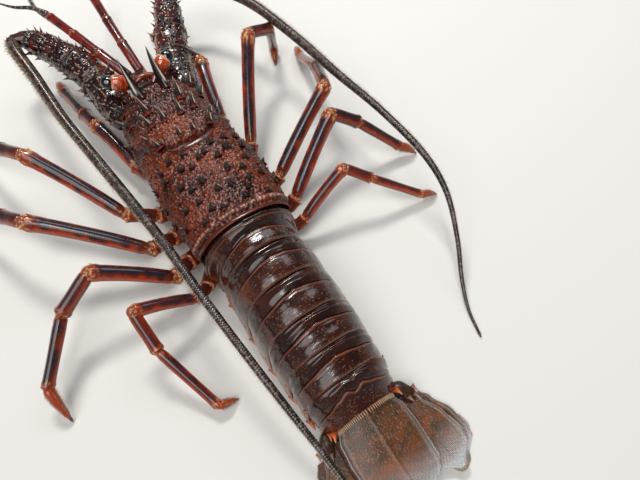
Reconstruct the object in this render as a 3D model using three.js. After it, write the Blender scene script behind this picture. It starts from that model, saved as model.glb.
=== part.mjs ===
// A life-size Japanese spiny lobster, lying on its belly with its legs spread.
// Millimetres, +Z up. The head points to -Y, the tail to +Y, the animal's left side to +X.
// While the body is built, y = 0 is the front margin of the carapace and z = 0 the floor.
// At the end the whole animal is moved so that the origin is the middle of its footprint.

import * as THREE from 'three';

// Driving dimensions
const JOINT_GAP = 0.3;
const CARAPACE_LENGTH = 86;
const CARAPACE_HALF_WIDTH = 25.3;
const CARAPACE_TOP = 45.5;
const CARAPACE_EDGE = 14.5;
const ABDOMEN_HALF_WIDTH = 20.5;
const TELSON_LENGTH = 37;
const TELSON_HALF_WIDTH = 15.2;
const FAN_LENGTH = 37;
const INNER_HALF_WIDTH = 9.8;
const OUTER_HALF_WIDTH = 10.4;
const FLAGELLUM_ROOT_RADIUS = 2.9;
const HORN_RADIUS = 3.1;
const EYE_RADIUS = 3.9;

// Mid-dorsal y of each abdomen ring's front margin, groove and rear margin, and the reach of
// the point at the foot of each side. Then the outline from the side and from above.
const ABDOMEN_RINGS = [
  { front: 86.6, groove: 92, rear: 99.3, point: 1.5 },
  { front: 99.6, groove: 105, rear: 114.6, point: 4 },
  { front: 114.9, groove: 120.5, rear: 130.2, point: 4 },
  { front: 130.5, groove: 135, rear: 143.6, point: 4 },
  { front: 143.9, groove: 148, rear: 155.2, point: 4 },
  { front: 155.5, groove: 160, rear: 168.8, point: 1 },
];
const ABDOMEN_TOPS = [[86, 40], [108, 39.5], [125, 37.3], [140, 33.6], [155, 28], [169, 19.5]];
const ABDOMEN_WIDTHS = [[86, 0.93], [105, 1.0], [130, 1.0], [155, 0.93], [163, 0.84], [169, 0.72]];

const COLOURS = {
  carapace: 0x6a2a22,
  horn: 0x2a1a1c,
  eye: 0x14100f,
  abdomen: 0x2c1512,
  fan: 0x4a3626,
  leg: 0x5a1d18,
  belly: 0xb8906a,
  feeler: 0x35231c,
};

const group = new THREE.Group();

function vec(x, y, z) {
  return new THREE.Vector3(x, y, z);
}

function mirrored(points, side) {
  return points.map(([x, y, z]) => vec(x * side, y, z));
}

// Value of a table of [position, value] knots at a position, by a smooth blend
function blend(knots, position) {
  if (position <= knots[0][0]) return knots[0][1];
  for (let i = 1; i < knots.length; i += 1) {
    const [p0, v0] = knots[i - 1];
    const [p1, v1] = knots[i];
    if (position <= p1) {
      const t = (position - p0) / (p1 - p0);
      return v0 + (v1 - v0) * t * t * (3 - 2 * t);
    }
  }
  return knots[knots.length - 1][1];
}

// Closed body through rings with equal point counts; everything under the floor is laid on it
function closedLoft(rings) {
  const count = rings[0].length;
  const vertices = rings.flat().map((p) => vec(p.x, p.y, Math.max(p.z, 0)));
  const index = [];
  for (let r = 0; r + 1 < rings.length; r += 1) {
    for (let i = 0; i < count; i += 1) {
      const a = r * count + i;
      const b = r * count + ((i + 1) % count);
      index.push(a, b, b + count, a, b + count, a + count);
    }
  }
  const caps = [[0, true], [(rings.length - 1) * count, false]];
  for (const [start, isFirst] of caps) {
    const average = vec(0, 0, 0);
    for (let i = 0; i < count; i += 1) average.addScaledVector(vertices[start + i], 1 / count);
    vertices.push(average);
    const centre = vertices.length - 1;
    for (let i = 0; i < count; i += 1) {
      const a = start + i;
      const b = start + ((i + 1) % count);
      if (isFirst) index.push(centre, b, a);
      else index.push(centre, a, b);
    }
  }
  let volume = 0;
  for (let i = 0; i < index.length; i += 3) {
    const [a, b, c] = [vertices[index[i]], vertices[index[i + 1]], vertices[index[i + 2]]];
    volume += a.dot(b.clone().cross(c));
  }
  if (volume < 0) {
    for (let i = 0; i < index.length; i += 3) [index[i], index[i + 1]] = [index[i + 1], index[i]];
  }
  const geometry = new THREE.BufferGeometry();
  geometry.setFromPoints(vertices);
  geometry.setIndex(index);
  geometry.computeVertexNormals();
  return geometry;
}

function addPiece(name, geometry, colour, roughness = 0.35) {
  const material = new THREE.MeshStandardMaterial({ color: colour, roughness, metalness: 0 });
  const mesh = new THREE.Mesh(geometry, material);
  mesh.name = name;
  group.add(mesh);
}

// Polyline through points whose corners are rounded off over a given distance
function roundedPath(points, rounding) {
  const path = [points[0]];
  for (let i = 1; i + 1 < points.length; i += 1) {
    const before = points[i].clone().sub(points[i - 1]);
    const after = points[i + 1].clone().sub(points[i]);
    const reach = Math.min(rounding, before.length() * 0.45, after.length() * 0.45);
    const enter = points[i].clone().addScaledVector(before.normalize(), -reach);
    const leave = points[i].clone().addScaledVector(after.normalize(), reach);
    const bend = new THREE.QuadraticBezierCurve3(enter, points[i], leave);
    path.push(...bend.getPoints(2));
  }
  path.push(points[points.length - 1]);
  return path;
}

// Limb of round or oval section along a path. width(t) and height(t) give the half axes at
// the share t of its length. The end planes can be set to lie square to a given direction.
function limb(path, width, height, { sides = 8, startPlane = null, endPlane = null } = {}) {
  const lengths = [0];
  for (let i = 1; i < path.length; i += 1) {
    lengths.push(lengths[i - 1] + path[i].distanceTo(path[i - 1]));
  }
  const total = lengths[path.length - 1];
  const rings = path.map((centre, i) => {
    const into = path[Math.max(i, 1)].clone().sub(path[Math.max(i, 1) - 1]).normalize();
    const last = path.length - 1;
    const out = path[Math.min(i, last - 1) + 1].clone().sub(path[Math.min(i, last - 1)]).normalize();
    let plane = into.clone().add(out).normalize();
    if (i === 0 && startPlane) plane = startPlane;
    if (i === last && endPlane) plane = endPlane;
    const across = vec(0, 0, 1).cross(into).normalize();
    const up = into.clone().cross(across).normalize();
    const t = lengths[i] / total;
    const ring = [];
    for (let k = 0; k < sides; k += 1) {
      const angle = (2 * Math.PI * (k + 0.5)) / sides;
      const offset = across.clone().multiplyScalar(Math.cos(angle) * width(t));
      offset.addScaledVector(up, Math.sin(angle) * height(t));
      const slide = offset.dot(plane) / into.dot(plane);
      ring.push(centre.clone().add(offset).addScaledVector(into, -slide));
    }
    return ring;
  });
  return closedLoft(rings);
}

// Points shared evenly along a smooth curve through the given ones
function smoothPath(points, steps) {
  return new THREE.CatmullRomCurve3(points, false, 'centripetal').getSpacedPoints(steps);
}

// Carapace: an arched shell, nearly straight-sided from above, flat where it meets the legs
const CARAPACE_STATIONS = [0, 3, 10, 20, 32, 40.5, 43.5, 46.5, 55, 65, 74, 81, CARAPACE_LENGTH];
const CARAPACE_WIDTHS = [[0, 0.8], [9, 0.88], [30, 0.93], [54, 1.0], [68, 1.0], [86, 0.93]];
const CARAPACE_TOPS = [[0, 0.846], [12, 0.89], [36, 0.958], [43.5, 0.943], [50, 0.98], [64, 1], [86, 0.936]];
const ARCH_POINTS = 18;
const CARAPACE_TUCK = 0.13;
const CARAPACE_SIDE_POWER = 0.78;
const CARAPACE_TOP_POWER = 0.82;
const CARAPACE_REAR_LEAN = [[60, 0], [CARAPACE_LENGTH, 5]];

function carapaceRing(y) {
  const halfWidth = CARAPACE_HALF_WIDTH * blend(CARAPACE_WIDTHS, y);
  const top = CARAPACE_TOP * blend(CARAPACE_TOPS, y);
  const ring = [];
  for (let i = 0; i <= ARCH_POINTS; i += 1) {
    const angle = (Math.PI * i) / ARCH_POINTS;
    const rise = Math.sin(angle);
    const tuck = 1 - CARAPACE_TUCK * (1 - rise) ** 3;
    const reach = Math.sign(Math.cos(angle)) * Math.abs(Math.cos(angle)) ** CARAPACE_SIDE_POWER;
    const lean = blend(CARAPACE_REAR_LEAN, y) * (1 - rise) ** 2;
    const z = CARAPACE_EDGE + (top - CARAPACE_EDGE) * rise ** CARAPACE_TOP_POWER;
    ring.push(vec(halfWidth * tuck * reach, y - lean, z));
  }
  return ring;
}

addPiece('carapace', closedLoft(CARAPACE_STATIONS.map(carapaceRing)), COLOURS.carapace, 0.45);

// Underside: the breastplate, which widens to the rear, and the mouth frame ahead of it
const BREAST_WIDTHS = [[2, 7.5], [26, 8.5], [46, 11.5], [58, 13.5], [70, 15.5], [84, 17]];
const BREAST_BOTTOMS = [[2, 10], [29, 8.4], [36, 0], [84, 0]];
const BREAST_TOP = CARAPACE_EDGE - JOINT_GAP;

function breastRing(y) {
  const halfWidth = blend(BREAST_WIDTHS, y);
  const bottom = blend(BREAST_BOTTOMS, y);
  return [
    vec(halfWidth, y, BREAST_TOP),
    vec(halfWidth, y, bottom + 2),
    vec(halfWidth - 3, y, bottom),
    vec(3 - halfWidth, y, bottom),
    vec(-halfWidth, y, bottom + 2),
    vec(-halfWidth, y, BREAST_TOP),
  ];
}

const BREAST_STATIONS = [2, 14, 29, 32, 36, 46, 58, 70, 84];
addPiece('underside', closedLoft(BREAST_STATIONS.map(breastRing)), COLOURS.belly, 0.5);

// Head front: the plate between the antennae, with the mouth frame under it
const FACE = [
  { y: -JOINT_GAP, halfWidth: 6.6, bottom: 12.5, top: 31 },
  { y: -9, halfWidth: 6.6, bottom: 13, top: 31 },
  { y: -17, halfWidth: 6.2, bottom: 16, top: 30 },
  { y: -24, halfWidth: 5.4, bottom: 21, top: 28 },
];

function faceRing({ y, halfWidth, bottom, top }) {
  const bevel = 1.6;
  return [
    vec(halfWidth, y, top - bevel),
    vec(halfWidth - bevel, y, top),
    vec(bevel - halfWidth, y, top),
    vec(-halfWidth, y, top - bevel),
    vec(-halfWidth, y, bottom + bevel),
    vec(bevel - halfWidth, y, bottom),
    vec(halfWidth - bevel, y, bottom),
    vec(halfWidth, y, bottom + bevel),
  ];
}

addPiece('head_front', closedLoft(FACE.map(faceRing)), COLOURS.carapace, 0.45);

// What comes in pairs on the head. Side +1 is the animal's left.
const SIDES = [['left', 1], ['right', -1]];
const HORN = [[6.3, -JOINT_GAP, 37.3], [6.3, -4, 40.4], [6.6, -8.5, 44.6], [7.1, -13, 50]];
const EYE = [[4.2, -6, 34.6], [7, -8, 36.2], [10, -9.8, 37.8], [13, -11, 39], [18.6, -12.4, 40.8]];
const EYE_PROFILE = [[0, 0.5], [0.4, 0.72], [0.62, 1], [0.85, 0.92], [1, 0.35]];
const MAXILLIPED = [[4.4, 28.5, 3.8], [4.8, 14, 3.9], [4.6, 2, 6.5], [4.2, -8, 9], [3.8, -16, 8.5]];

for (const [sideName, side] of SIDES) {
  const hornPath = smoothPath(mirrored(HORN, side), 6);
  const hornRadius = (t) => HORN_RADIUS * (1 - 0.9 * t);
  const hornBase = vec(0, -1, 0);
  const horn = limb(hornPath, hornRadius, hornRadius, { startPlane: hornBase });
  addPiece(`horn_${sideName}`, horn, COLOURS.horn, 0.25);

  const eyeRadius = (t) => EYE_RADIUS * blend(EYE_PROFILE, t);
  const eyePath = smoothPath(mirrored(EYE, side), 7);
  addPiece(`eye_${sideName}`, limb(eyePath, eyeRadius, eyeRadius, { sides: 10 }), COLOURS.eye, 0.1);

  const jawRadius = (t) => 3.5 * (1 - 0.55 * t * t);
  const jawPath = smoothPath(mirrored(MAXILLIPED, side), 9);
  addPiece(`maxilliped_${sideName}`, limb(jawPath, jawRadius, jawRadius), COLOURS.leg);
}

// Antennae: a thick peduncle of a base and an outer part, and a long whip in three lengths
const PEDUNCLES = {
  left: [
    [15.2, -JOINT_GAP, 24.3], [16.2, -14, 25], [17.2, -30, 25.5],
    [20, -44, 26.5], [26, -58, 27.5], [34.6, -74, 28.5],
  ],
  right: [
    [-15.2, -JOINT_GAP, 24.3], [-17.5, -12, 25], [-20.8, -23, 25.5],
    [-24.5, -34, 26.5], [-29.5, -45, 28], [-36, -62, 29.5],
  ],
};
const PEDUNCLE_SPLIT = { left: 30.5, right: 27 };
const PEDUNCLE_STEPS = 13;
const PEDUNCLE_RADIUS = [[0, 7.7], [0.2, 8.6], [0.55, 8.5], [0.85, 7.4], [1, 5.4]];

const WHIPS = {
  left: [
    [42.6, -76.5, 29.6], [43.2, -66, 32.2], [41.5, -42, 33.5], [40, -10, 35], [37.5, 14, 36], [33.8, 45, 36],
    [31, 70, 35], [28.6, 104, 32], [26.3, 129, 28], [23.5, 154, 21], [21.2, 172, 14.6],
    [19.6, 190, 11.2], [18, 208, 8.4], [16.5, 226, 3.2], [15, 246, 0.9],
  ],
  right: [
    [-43.5, -66.2, 30], [-52, -62.8, 31.5], [-62, -48, 33], [-68.8, -30, 34.5], [-73.8, 5, 36], [-77, 40, 36],
    [-81, 70.5, 35], [-83.5, 98, 31], [-82, 114.8, 26], [-76.4, 131.8, 16], [-69.2, 147, 5.6],
    [-64.5, 158, 1.6], [-61, 170, 0.8],
  ],
};
const WHIP_STEPS = 38;
const WHIP_CUTS = [0, 0.3, 0.63, 1];
const WHIP_PROFILE = [[0, 1], [0.3, 0.78], [0.62, 0.56], [0.85, 0.36], [1, 0.2]];

// A curve sampled from one share of its length to another, with half a joint gap at its ends
function pathShare(points, from, to, steps, length) {
  const curve = new THREE.CatmullRomCurve3(points, false, 'centripetal');
  const low = from + (from > 0 ? JOINT_GAP / 2 / length : 0);
  const high = to - (to < 1 ? JOINT_GAP / 2 / length : 0);
  const path = [];
  for (let i = 0; i <= steps; i += 1) path.push(curve.getPointAt(low + ((high - low) * i) / steps));
  return path;
}

for (const [sideName, side] of SIDES) {
  const points = PEDUNCLES[sideName].map((p) => vec(...p));
  const peduncle = new THREE.CatmullRomCurve3(points, false, 'centripetal');
  const peduncleLength = peduncle.getLength();
  const split = PEDUNCLE_SPLIT[sideName] / peduncleLength;
  const jointPlane = peduncle.getTangentAt(split);
  const parts = [['base', 0, split], ['outer', split, 1]];
  for (const [partName, from, to] of parts) {
    const steps = Math.round(PEDUNCLE_STEPS * (to - from));
    const radius = (t) => blend(PEDUNCLE_RADIUS, from + (to - from) * t);
    const ends = { sides: 12 };
    if (from === 0) ends.startPlane = vec(0, -1, 0);
    else ends.startPlane = jointPlane;
    if (to < 1) ends.endPlane = jointPlane;
    const path = pathShare(points, from, to, steps, peduncleLength);
    addPiece(`antenna_${partName}_${sideName}`, limb(path, radius, radius, ends), COLOURS.carapace, 0.4);
  }

  const whip = WHIPS[sideName].map((p) => vec(...p));
  const whipLength = new THREE.CatmullRomCurve3(whip, false, 'centripetal').getLength();
  for (let i = 0; i < 3; i += 1) {
    const [from, to] = [WHIP_CUTS[i], WHIP_CUTS[i + 1]];
    const radius = (t) => FLAGELLUM_ROOT_RADIUS * blend(WHIP_PROFILE, from + (to - from) * t);
    const path = pathShare(whip, from, to, Math.round(WHIP_STEPS * (to - from)), whipLength);
    const length = limb(path, radius, radius, { sides: 6 });
    addPiece(`antenna_whip_${i + 1}_${sideName}`, length, COLOURS.feeler, 0.5);
  }
}

// Antennules: a slender three-jointed stalk and two short whips on each side
const ANTENNULES = {
  left: {
    stalk: [[2.9, -24.5, 26], [7, -34, 30], [13, -52, 33], [20.5, -77, 34.5]],
    inner: [[20.6, -78.4, 35.4], [26, -86, 36], [33, -93, 35], [39, -104, 33]],
    outer: [[21.3, -78, 33.2], [24, -90, 31.5], [24, -106, 29], [21, -124, 26.5]],
  },
  right: {
    stalk: [[-2.9, -24.5, 26], [-2.6, -36, 30.5], [-2.6, -54, 34], [-3.4, -76, 36]],
    inner: [[-2.7, -77.6, 36.6], [0, -90, 38.5], [5.5, -104, 37], [9, -120, 33]],
    outer: [[-4.2, -77.6, 35.4], [-8, -92, 35.5], [-14, -108, 33], [-21, -122, 29]],
  },
};
const STALK_RADIUS = [[0, 2.4], [0.5, 2.1], [1, 2.1]];
const SHORT_WHIP_ROOT_RADIUS = 1.05;
const SHORT_WHIP_TAPER = 0.65;

for (const [sideName] of SIDES) {
  const shape = ANTENNULES[sideName];
  const stalkRadius = (t) => blend(STALK_RADIUS, t);
  const stalkPath = smoothPath(shape.stalk.map((p) => vec(...p)), 7);
  const stalkBase = { startPlane: vec(0, -1, 0) };
  const stalk = limb(stalkPath, stalkRadius, stalkRadius, stalkBase);
  addPiece(`antennule_stalk_${sideName}`, stalk, COLOURS.leg);
  for (const whipName of ['inner', 'outer']) {
    const radius = (t) => SHORT_WHIP_ROOT_RADIUS - SHORT_WHIP_TAPER * t;
    const path = smoothPath(shape[whipName].map((p) => vec(...p)), 8);
    const whip = limb(path, radius, radius, { sides: 6 });
    addPiece(`antennule_${whipName}_${sideName}`, whip, COLOURS.feeler, 0.5);
  }
}

// Legs, first to last: y of the hip, then a row for the thigh (end of the hip piece, root of the
// thigh, knee) and a row for what hangs from the knee (end of the short joint, shin end, tip)
const LEGS = {
  left: [
    [26, [19, 21, 8.6], [22.5, 13, 9.6], [28.5, -17, 14],
      [30.5, -30, 11.5], [33.5, -58, 5], [34, -71, 0.5]],
    [46, [26.5, 46, 12], [38, 42.5, 19.2], [61.4, 2.8, 36],
      [69.3, -10.3, 32], [83, -37, 13], [88, -51, 0.5]],
    [57.5, [26, 60, 11.5], [36.5, 63, 17], [73.1, 33.4, 34],
      [80.9, 21.8, 30], [98, -2, 12], [105, -14, 0.5]],
    [69, [26, 74.4, 11.2], [34, 79.8, 15.6], [60.9, 66.7, 30],
      [77.3, 72.3, 22], [95.4, 92.3, 12], [95.1, 105, 0.5]],
    [79, [24.4, 88.4, 9.6], [30.5, 92.4, 13.6], [53.9, 89.1, 26],
      [53.3, 104.8, 17], [44.5, 133.1, 5], [36.8, 134.1, 0.5]],
  ],
  right: [
    [26, [-21, 21, 8.8], [-25, 13, 11], [-33.6, -22.4, 18.6],
      [-32.2, -36, 14.6], [-27, -64, 5.5], [-25, -77, 0.5]],
    [46, [-25, 42, 10.4], [-29, 36, 13], [-56.2, -7.7, 36],
      [-70.6, -12, 29], [-78, -24, 4.4], [-73.6, -14.6, 0.5]],
    [57.5, [-25, 60.5, 10.2], [-30.5, 59.5, 13.4], [-68.8, 41.2, 34],
      [-78.4, 19.4, 24], [-86.5, -7.9, 5], [-90.4, -20.4, 0.5]],
    [69, [-24.8, 74.6, 10], [-30, 74, 13], [-62.8, 54.9, 32],
      [-74.4, 60.8, 24], [-92, 74, 7], [-100, 79, 0.5]],
    [79, [-23.6, 84.6, 9.2], [-28, 84.6, 11.6], [-52.5, 79.9, 26],
      [-62.1, 87.9, 20], [-84, 101.5, 5], [-92.5, 104, 0.5]],
  ],
};
const HIP_HEIGHT = 6.3;
const LEG_THICKNESS = [3.5, 3.2, 3.3, 3.3, 2.7];
const UPPER_PROFILE = [[0, 1.25], [0.2, 1.05], [0.4, 0.98], [0.8, 1], [0.93, 1.12], [1, 1.02]];
const LOWER_PROFILE = [[0, 0.95], [0.12, 1], [0.25, 1], [0.33, 0.86], [0.74, 0.78], [0.94, 0.42], [1, 0.2]];
const LIMB_ROUNDING = 4;

for (const [sideName, side] of SIDES) {
  LEGS[sideName].forEach(([hipY, ...joints], i) => {
    const thickness = LEG_THICKNESS[i];
    const hipX = blend(BREAST_WIDTHS, hipY + thickness * 1.25) + JOINT_GAP;
    const hip = vec(hipX * side, hipY, HIP_HEIGHT);
    const [hipEnd, thighRoot, knee, shortEnd, shinEnd, tip] = joints.map((p) => vec(...p));
    const thighDirection = knee.clone().sub(thighRoot).normalize();
    const shinDirection = shortEnd.clone().sub(knee).normalize();
    const kneePlane = thighDirection.clone().add(shinDirection).normalize();
    const kneeIn = knee.clone().addScaledVector(kneePlane, -JOINT_GAP / 2);
    const kneeOut = knee.clone().addScaledVector(kneePlane, JOINT_GAP / 2);

    const thighMiddle = thighRoot.clone().lerp(kneeIn, 0.5);
    const thighEnd = thighRoot.clone().lerp(kneeIn, 0.86);
    const hipBends = roundedPath([hip, hipEnd, thighRoot, thighMiddle], LIMB_ROUNDING);
    const upperPath = [...hipBends, thighEnd, kneeIn];
    const upperRadius = (t) => thickness * blend(UPPER_PROFILE, t);
    const upperEnds = { startPlane: vec(side, 0, 0), endPlane: kneePlane };
    const upper = limb(upperPath, upperRadius, upperRadius, upperEnds);
    addPiece(`leg_${i + 1}_${sideName}_upper`, upper, COLOURS.leg);

    const shin = roundedPath([kneeOut, shortEnd, shinEnd, tip], LIMB_ROUNDING);
    const lowerRadius = (t) => thickness * blend(LOWER_PROFILE, t);
    const lower = limb(shin, lowerRadius, lowerRadius, { startPlane: kneePlane });
    addPiece(`leg_${i + 1}_${sideName}_lower`, lower, COLOURS.leg);
  });
}

// Abdomen: six arched rings, each with a groove across it and a point at the foot of each side
const RING_ARCH = 14;
const PLEURA_THICKNESS = 3;
const NOTCH_WIDTH = 3.5;
const NOTCH_HEIGHT_SHARE = 0.09;
const BELLY_FLAT_HALF_WIDTH = 7;
const RING_SIDE_POWER = 0.86;
const RING_TOP_POWER = 0.78;
const FLAT_FACE_SHARE = 0.8;

function abdomenRing(y, scale, footHeight, footBack) {
  const halfWidth = ABDOMEN_HALF_WIDTH * blend(ABDOMEN_WIDTHS, y) * scale;
  const top = blend(ABDOMEN_TOPS, y) * scale;
  const foot = Math.min(footHeight, top / 2);
  const ring = [];
  for (let i = 0; i <= RING_ARCH; i += 1) {
    const angle = (Math.PI * i) / RING_ARCH;
    const rise = Math.sin(angle);
    const reach = Math.sign(Math.cos(angle)) * Math.abs(Math.cos(angle)) ** RING_SIDE_POWER;
    const back = footBack * (1 - rise) ** 4;
    ring.push(vec(halfWidth * reach, y + back, foot + (top - foot) * rise ** RING_TOP_POWER));
  }
  const inner = halfWidth - PLEURA_THICKNESS;
  const innerBack = footBack * 0.3;
  const notchX = inner - NOTCH_WIDTH;
  const notchHeight = top * NOTCH_HEIGHT_SHARE;
  ring.push(vec(-inner, y + innerBack, foot + 0.6));
  ring.push(vec(-notchX, y + innerBack / 2, notchHeight));
  ring.push(vec(-BELLY_FLAT_HALF_WIDTH, y, 0));
  ring.push(vec(BELLY_FLAT_HALF_WIDTH, y, 0));
  ring.push(vec(notchX, y + innerBack / 2, notchHeight));
  ring.push(vec(inner, y + innerBack, foot + 0.6));
  return ring;
}

// The flat middle of a ring's end face, inside its swept-back rim
function flatFace(ring, y) {
  const middleHeight = blend(ABDOMEN_TOPS, y) * 0.45;
  const flatten = (z) => middleHeight + (z - middleHeight) * FLAT_FACE_SHARE;
  return ring.map((p) => vec(p.x * FLAT_FACE_SHARE, y, flatten(p.z)));
}

ABDOMEN_RINGS.forEach(({ front, groove, rear, point }, i) => {
  const pointBefore = i > 0 ? ABDOMEN_RINGS[i - 1].point : 0;
  const rings = [
    flatFace(abdomenRing(front, 0.955, 10, pointBefore), front),
    abdomenRing(front, 0.955, 10, pointBefore),
    abdomenRing(groove - 1.2, 0.985, 7, pointBefore * 0.4),
    abdomenRing(groove, 0.965, 6, 0.4),
    abdomenRing(groove + 1.4, 0.99, 4.6, 0.8),
    abdomenRing(rear - 2, 1.0, 2.2, point * 0.7),
    abdomenRing(rear, 0.985, 0.8, point),
    flatFace(abdomenRing(rear, 0.985, 0.8, point), rear),
  ];
  addPiece(`abdomen_${i + 1}`, closedLoft(rings), COLOURS.abdomen, 0.2);
});

// Tail fan: the telson on top, the inner blades under it and the outer blades on the floor
const BLADE_OUTLINE = [[0, 0.42], [0.15, 0.62], [0.5, 0.95], [0.75, 1], [0.9, 0.86], [1, 0.34]];
const TELSON_OUTLINE = [[0, 0.84], [0.15, 0.96], [0.4, 1], [0.8, 0.97], [0.92, 0.84], [1, 0.42]];
const BLADE_STATIONS = [0, 0.08, 0.2, 0.35, 0.5, 0.65, 0.78, 0.88, 0.95, 1];
const TELSON_HEIGHTS = [12.4, 6.2];
const TELSON_THICKNESS = 3.2;
const TELSON_ARCH = 1.4;

// A flat, slightly arched plate from a root to a tip
function blade(root, tip, halfWidth, outline, thickness, arch) {
  const along = tip.clone().sub(root);
  const across = vec(0, 0, 1).cross(along).normalize();
  const rings = BLADE_STATIONS.map((t) => {
    const centre = root.clone().addScaledVector(along, t);
    const reach = halfWidth * blend(outline, t);
    const half = (thickness * (1 - 0.45 * t)) / 2;
    const ring = [];
    const spread = [-1, -0.6, 0, 0.6, 1];
    for (const s of spread) {
      const crown = arch * (1 - s * s) + half * (1 - 0.5 * Math.abs(s));
      ring.push(centre.clone().addScaledVector(across, s * reach).add(vec(0, 0, crown)));
    }
    for (const s of spread.slice().reverse()) {
      const hollow = arch * (1 - s * s) - half * (1 - 0.5 * Math.abs(s));
      ring.push(centre.clone().addScaledVector(across, s * reach).add(vec(0, 0, hollow)));
    }
    return ring;
  });
  return closedLoft(rings);
}

const fanRoot = ABDOMEN_RINGS[5].rear + JOINT_GAP;
const fanEnd = fanRoot + FAN_LENGTH;
const telsonRoot = vec(0, fanRoot, TELSON_HEIGHTS[0]);
const telsonTip = vec(0, fanRoot + TELSON_LENGTH, TELSON_HEIGHTS[1]);
const telson = blade(telsonRoot, telsonTip, TELSON_HALF_WIDTH, TELSON_OUTLINE, TELSON_THICKNESS, TELSON_ARCH);
addPiece('telson', telson, COLOURS.fan, 0.3);

for (const [sideName, side] of SIDES) {
  const hubPoints = [[19.2, fanRoot - 1.2, 6], [19.9, fanRoot + 2.2, 5.8], [20.4, fanRoot + 5, 5.2]];
  const hub = mirrored(hubPoints, side);
  const hubWidth = (t) => 3.7 - 0.3 * t;
  const hubHeight = (t) => 2.6 - 0.6 * t;
  const uropodBase = limb(hub, hubWidth, hubHeight, { startPlane: vec(0, 1, 0) });
  addPiece(`uropod_base_${sideName}`, uropodBase, COLOURS.fan);

  const innerLine = [[17.2, fanRoot + 6.4, 4.4], [20.6, fanEnd - 1, 3.6]];
  const [innerRoot, innerTip] = mirrored(innerLine, side);
  const innerBlade = blade(innerRoot, innerTip, INNER_HALF_WIDTH, BLADE_OUTLINE, 1.8, 0.3);
  addPiece(`uropod_inner_${sideName}`, innerBlade, COLOURS.fan, 0.3);

  const outerLine = [[20.4, fanRoot + 6, 1.5], [22.8, fanEnd - 2, 0.9]];
  const [outerRoot, outerTip] = mirrored(outerLine, side);
  const outerBlade = blade(outerRoot, outerTip, OUTER_HALF_WIDTH, BLADE_OUTLINE, 1.9, 0);
  addPiece(`uropod_outer_${sideName}`, outerBlade, COLOURS.fan, 0.3);
}

// Origin: the floor under the middle of the bounding box
const box = new THREE.Box3().setFromObject(group);
const middle = box.getCenter(new THREE.Vector3());
group.position.set(-middle.x, -middle.y, -box.min.z);

export default group;
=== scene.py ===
# A life-size Japanese spiny lobster. Shapes are worked out in millimetres in the animal's own
# body frame: y = 0 at the front margin of the carapace, the head towards -y, its left side
# towards +x, the floor at z = 0. They are then moved into the part's frame, in metres.
import math
import bpy
import numpy as np
from mathutils import Matrix, Vector


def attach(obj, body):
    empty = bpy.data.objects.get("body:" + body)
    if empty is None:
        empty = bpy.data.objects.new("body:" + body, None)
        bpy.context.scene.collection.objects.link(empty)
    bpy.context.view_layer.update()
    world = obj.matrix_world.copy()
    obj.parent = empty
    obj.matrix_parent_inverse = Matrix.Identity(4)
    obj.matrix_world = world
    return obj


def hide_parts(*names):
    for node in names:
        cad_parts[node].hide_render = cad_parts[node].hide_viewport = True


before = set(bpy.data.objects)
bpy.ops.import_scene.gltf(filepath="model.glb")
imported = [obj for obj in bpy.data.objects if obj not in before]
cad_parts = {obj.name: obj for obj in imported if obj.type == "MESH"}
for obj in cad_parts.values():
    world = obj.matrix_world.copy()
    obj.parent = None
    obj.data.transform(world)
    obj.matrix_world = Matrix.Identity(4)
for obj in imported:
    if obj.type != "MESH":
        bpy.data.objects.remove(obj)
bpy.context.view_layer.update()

MM = 0.001
SHIFT = np.array([-2.582, -60.988, 0.0])
FLOOR_GAP = 0.00002
PI = math.pi
UP = np.array([0.0, 0.0, 1.0])
FORWARD = np.array([0.0, -1.0, 0.0])
SIDES = (("left", 1), ("right", -1))


# Numbers and curves

def bell(x, width):
    return np.exp(-((x / width) ** 2))


def plateau(x, width):
    """A bell with a flat top and steep sides."""
    return np.exp(-((x / width) ** 6))


def dome(distance, radius):
    """1 in the middle, falling in a round top to 0 at the radius."""
    return np.clip(1 - (distance / radius) ** 2, 0, 1)


def step(x, start, end):
    t = np.clip((x - start) / (end - start), 0, 1)
    return t * t * (3 - 2 * t)


def blend(knots, x):
    """Value of a table of (position, value) knots at x, by a smooth blend."""
    place, value = np.array(knots, float).T
    i = np.clip(np.searchsorted(place, x, side="right") - 1, 0, len(place) - 2)
    return value[i] + (value[i + 1] - value[i]) * step(x, place[i], place[i + 1])


def away(angle, centre):
    """Turn from a centre to an angle, between -pi and pi."""
    return (angle - centre + PI) % (2 * PI) - PI


def unit(v):
    v = np.asarray(v, float)
    return v / np.maximum(np.linalg.norm(v, axis=-1, keepdims=True), 1e-9)


def travel(path):
    """Length along a polyline at each of its points."""
    return np.concatenate([[0], np.cumsum(np.linalg.norm(np.diff(path, axis=0), axis=1))])


def curve(points, count, low=0.0, high=1.0):
    """Centripetal curve through points, sampled evenly from one share of its length to another."""
    p = np.array(points, float)
    p = np.vstack([2 * p[0] - p[1], p, 2 * p[-1] - p[-2]])
    out = []
    for i in range(1, len(p) - 2):
        q = p[i - 1:i + 3]
        t0, (t1, t2, t3) = 0.0, np.cumsum(np.sqrt(np.linalg.norm(np.diff(q, axis=0), axis=1)))
        t = np.linspace(t1, t2, 40, endpoint=i == len(p) - 3)[:, None]
        a1 = ((t1 - t) * q[0] + (t - t0) * q[1]) / (t1 - t0)
        a2 = ((t2 - t) * q[1] + (t - t1) * q[2]) / (t2 - t1)
        a3 = ((t3 - t) * q[2] + (t - t2) * q[3]) / (t3 - t2)
        b1 = ((t2 - t) * a1 + (t - t0) * a2) / (t2 - t0)
        b2 = ((t3 - t) * a2 + (t - t1) * a3) / (t3 - t1)
        out.append(((t2 - t) * b1 + (t - t1) * b2) / (t2 - t1))
    path = np.vstack(out)
    length = travel(path)
    want = np.linspace(low, high, count) * length[-1]
    return np.stack([np.interp(want, length, path[:, k]) for k in range(3)], axis=1)


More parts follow.
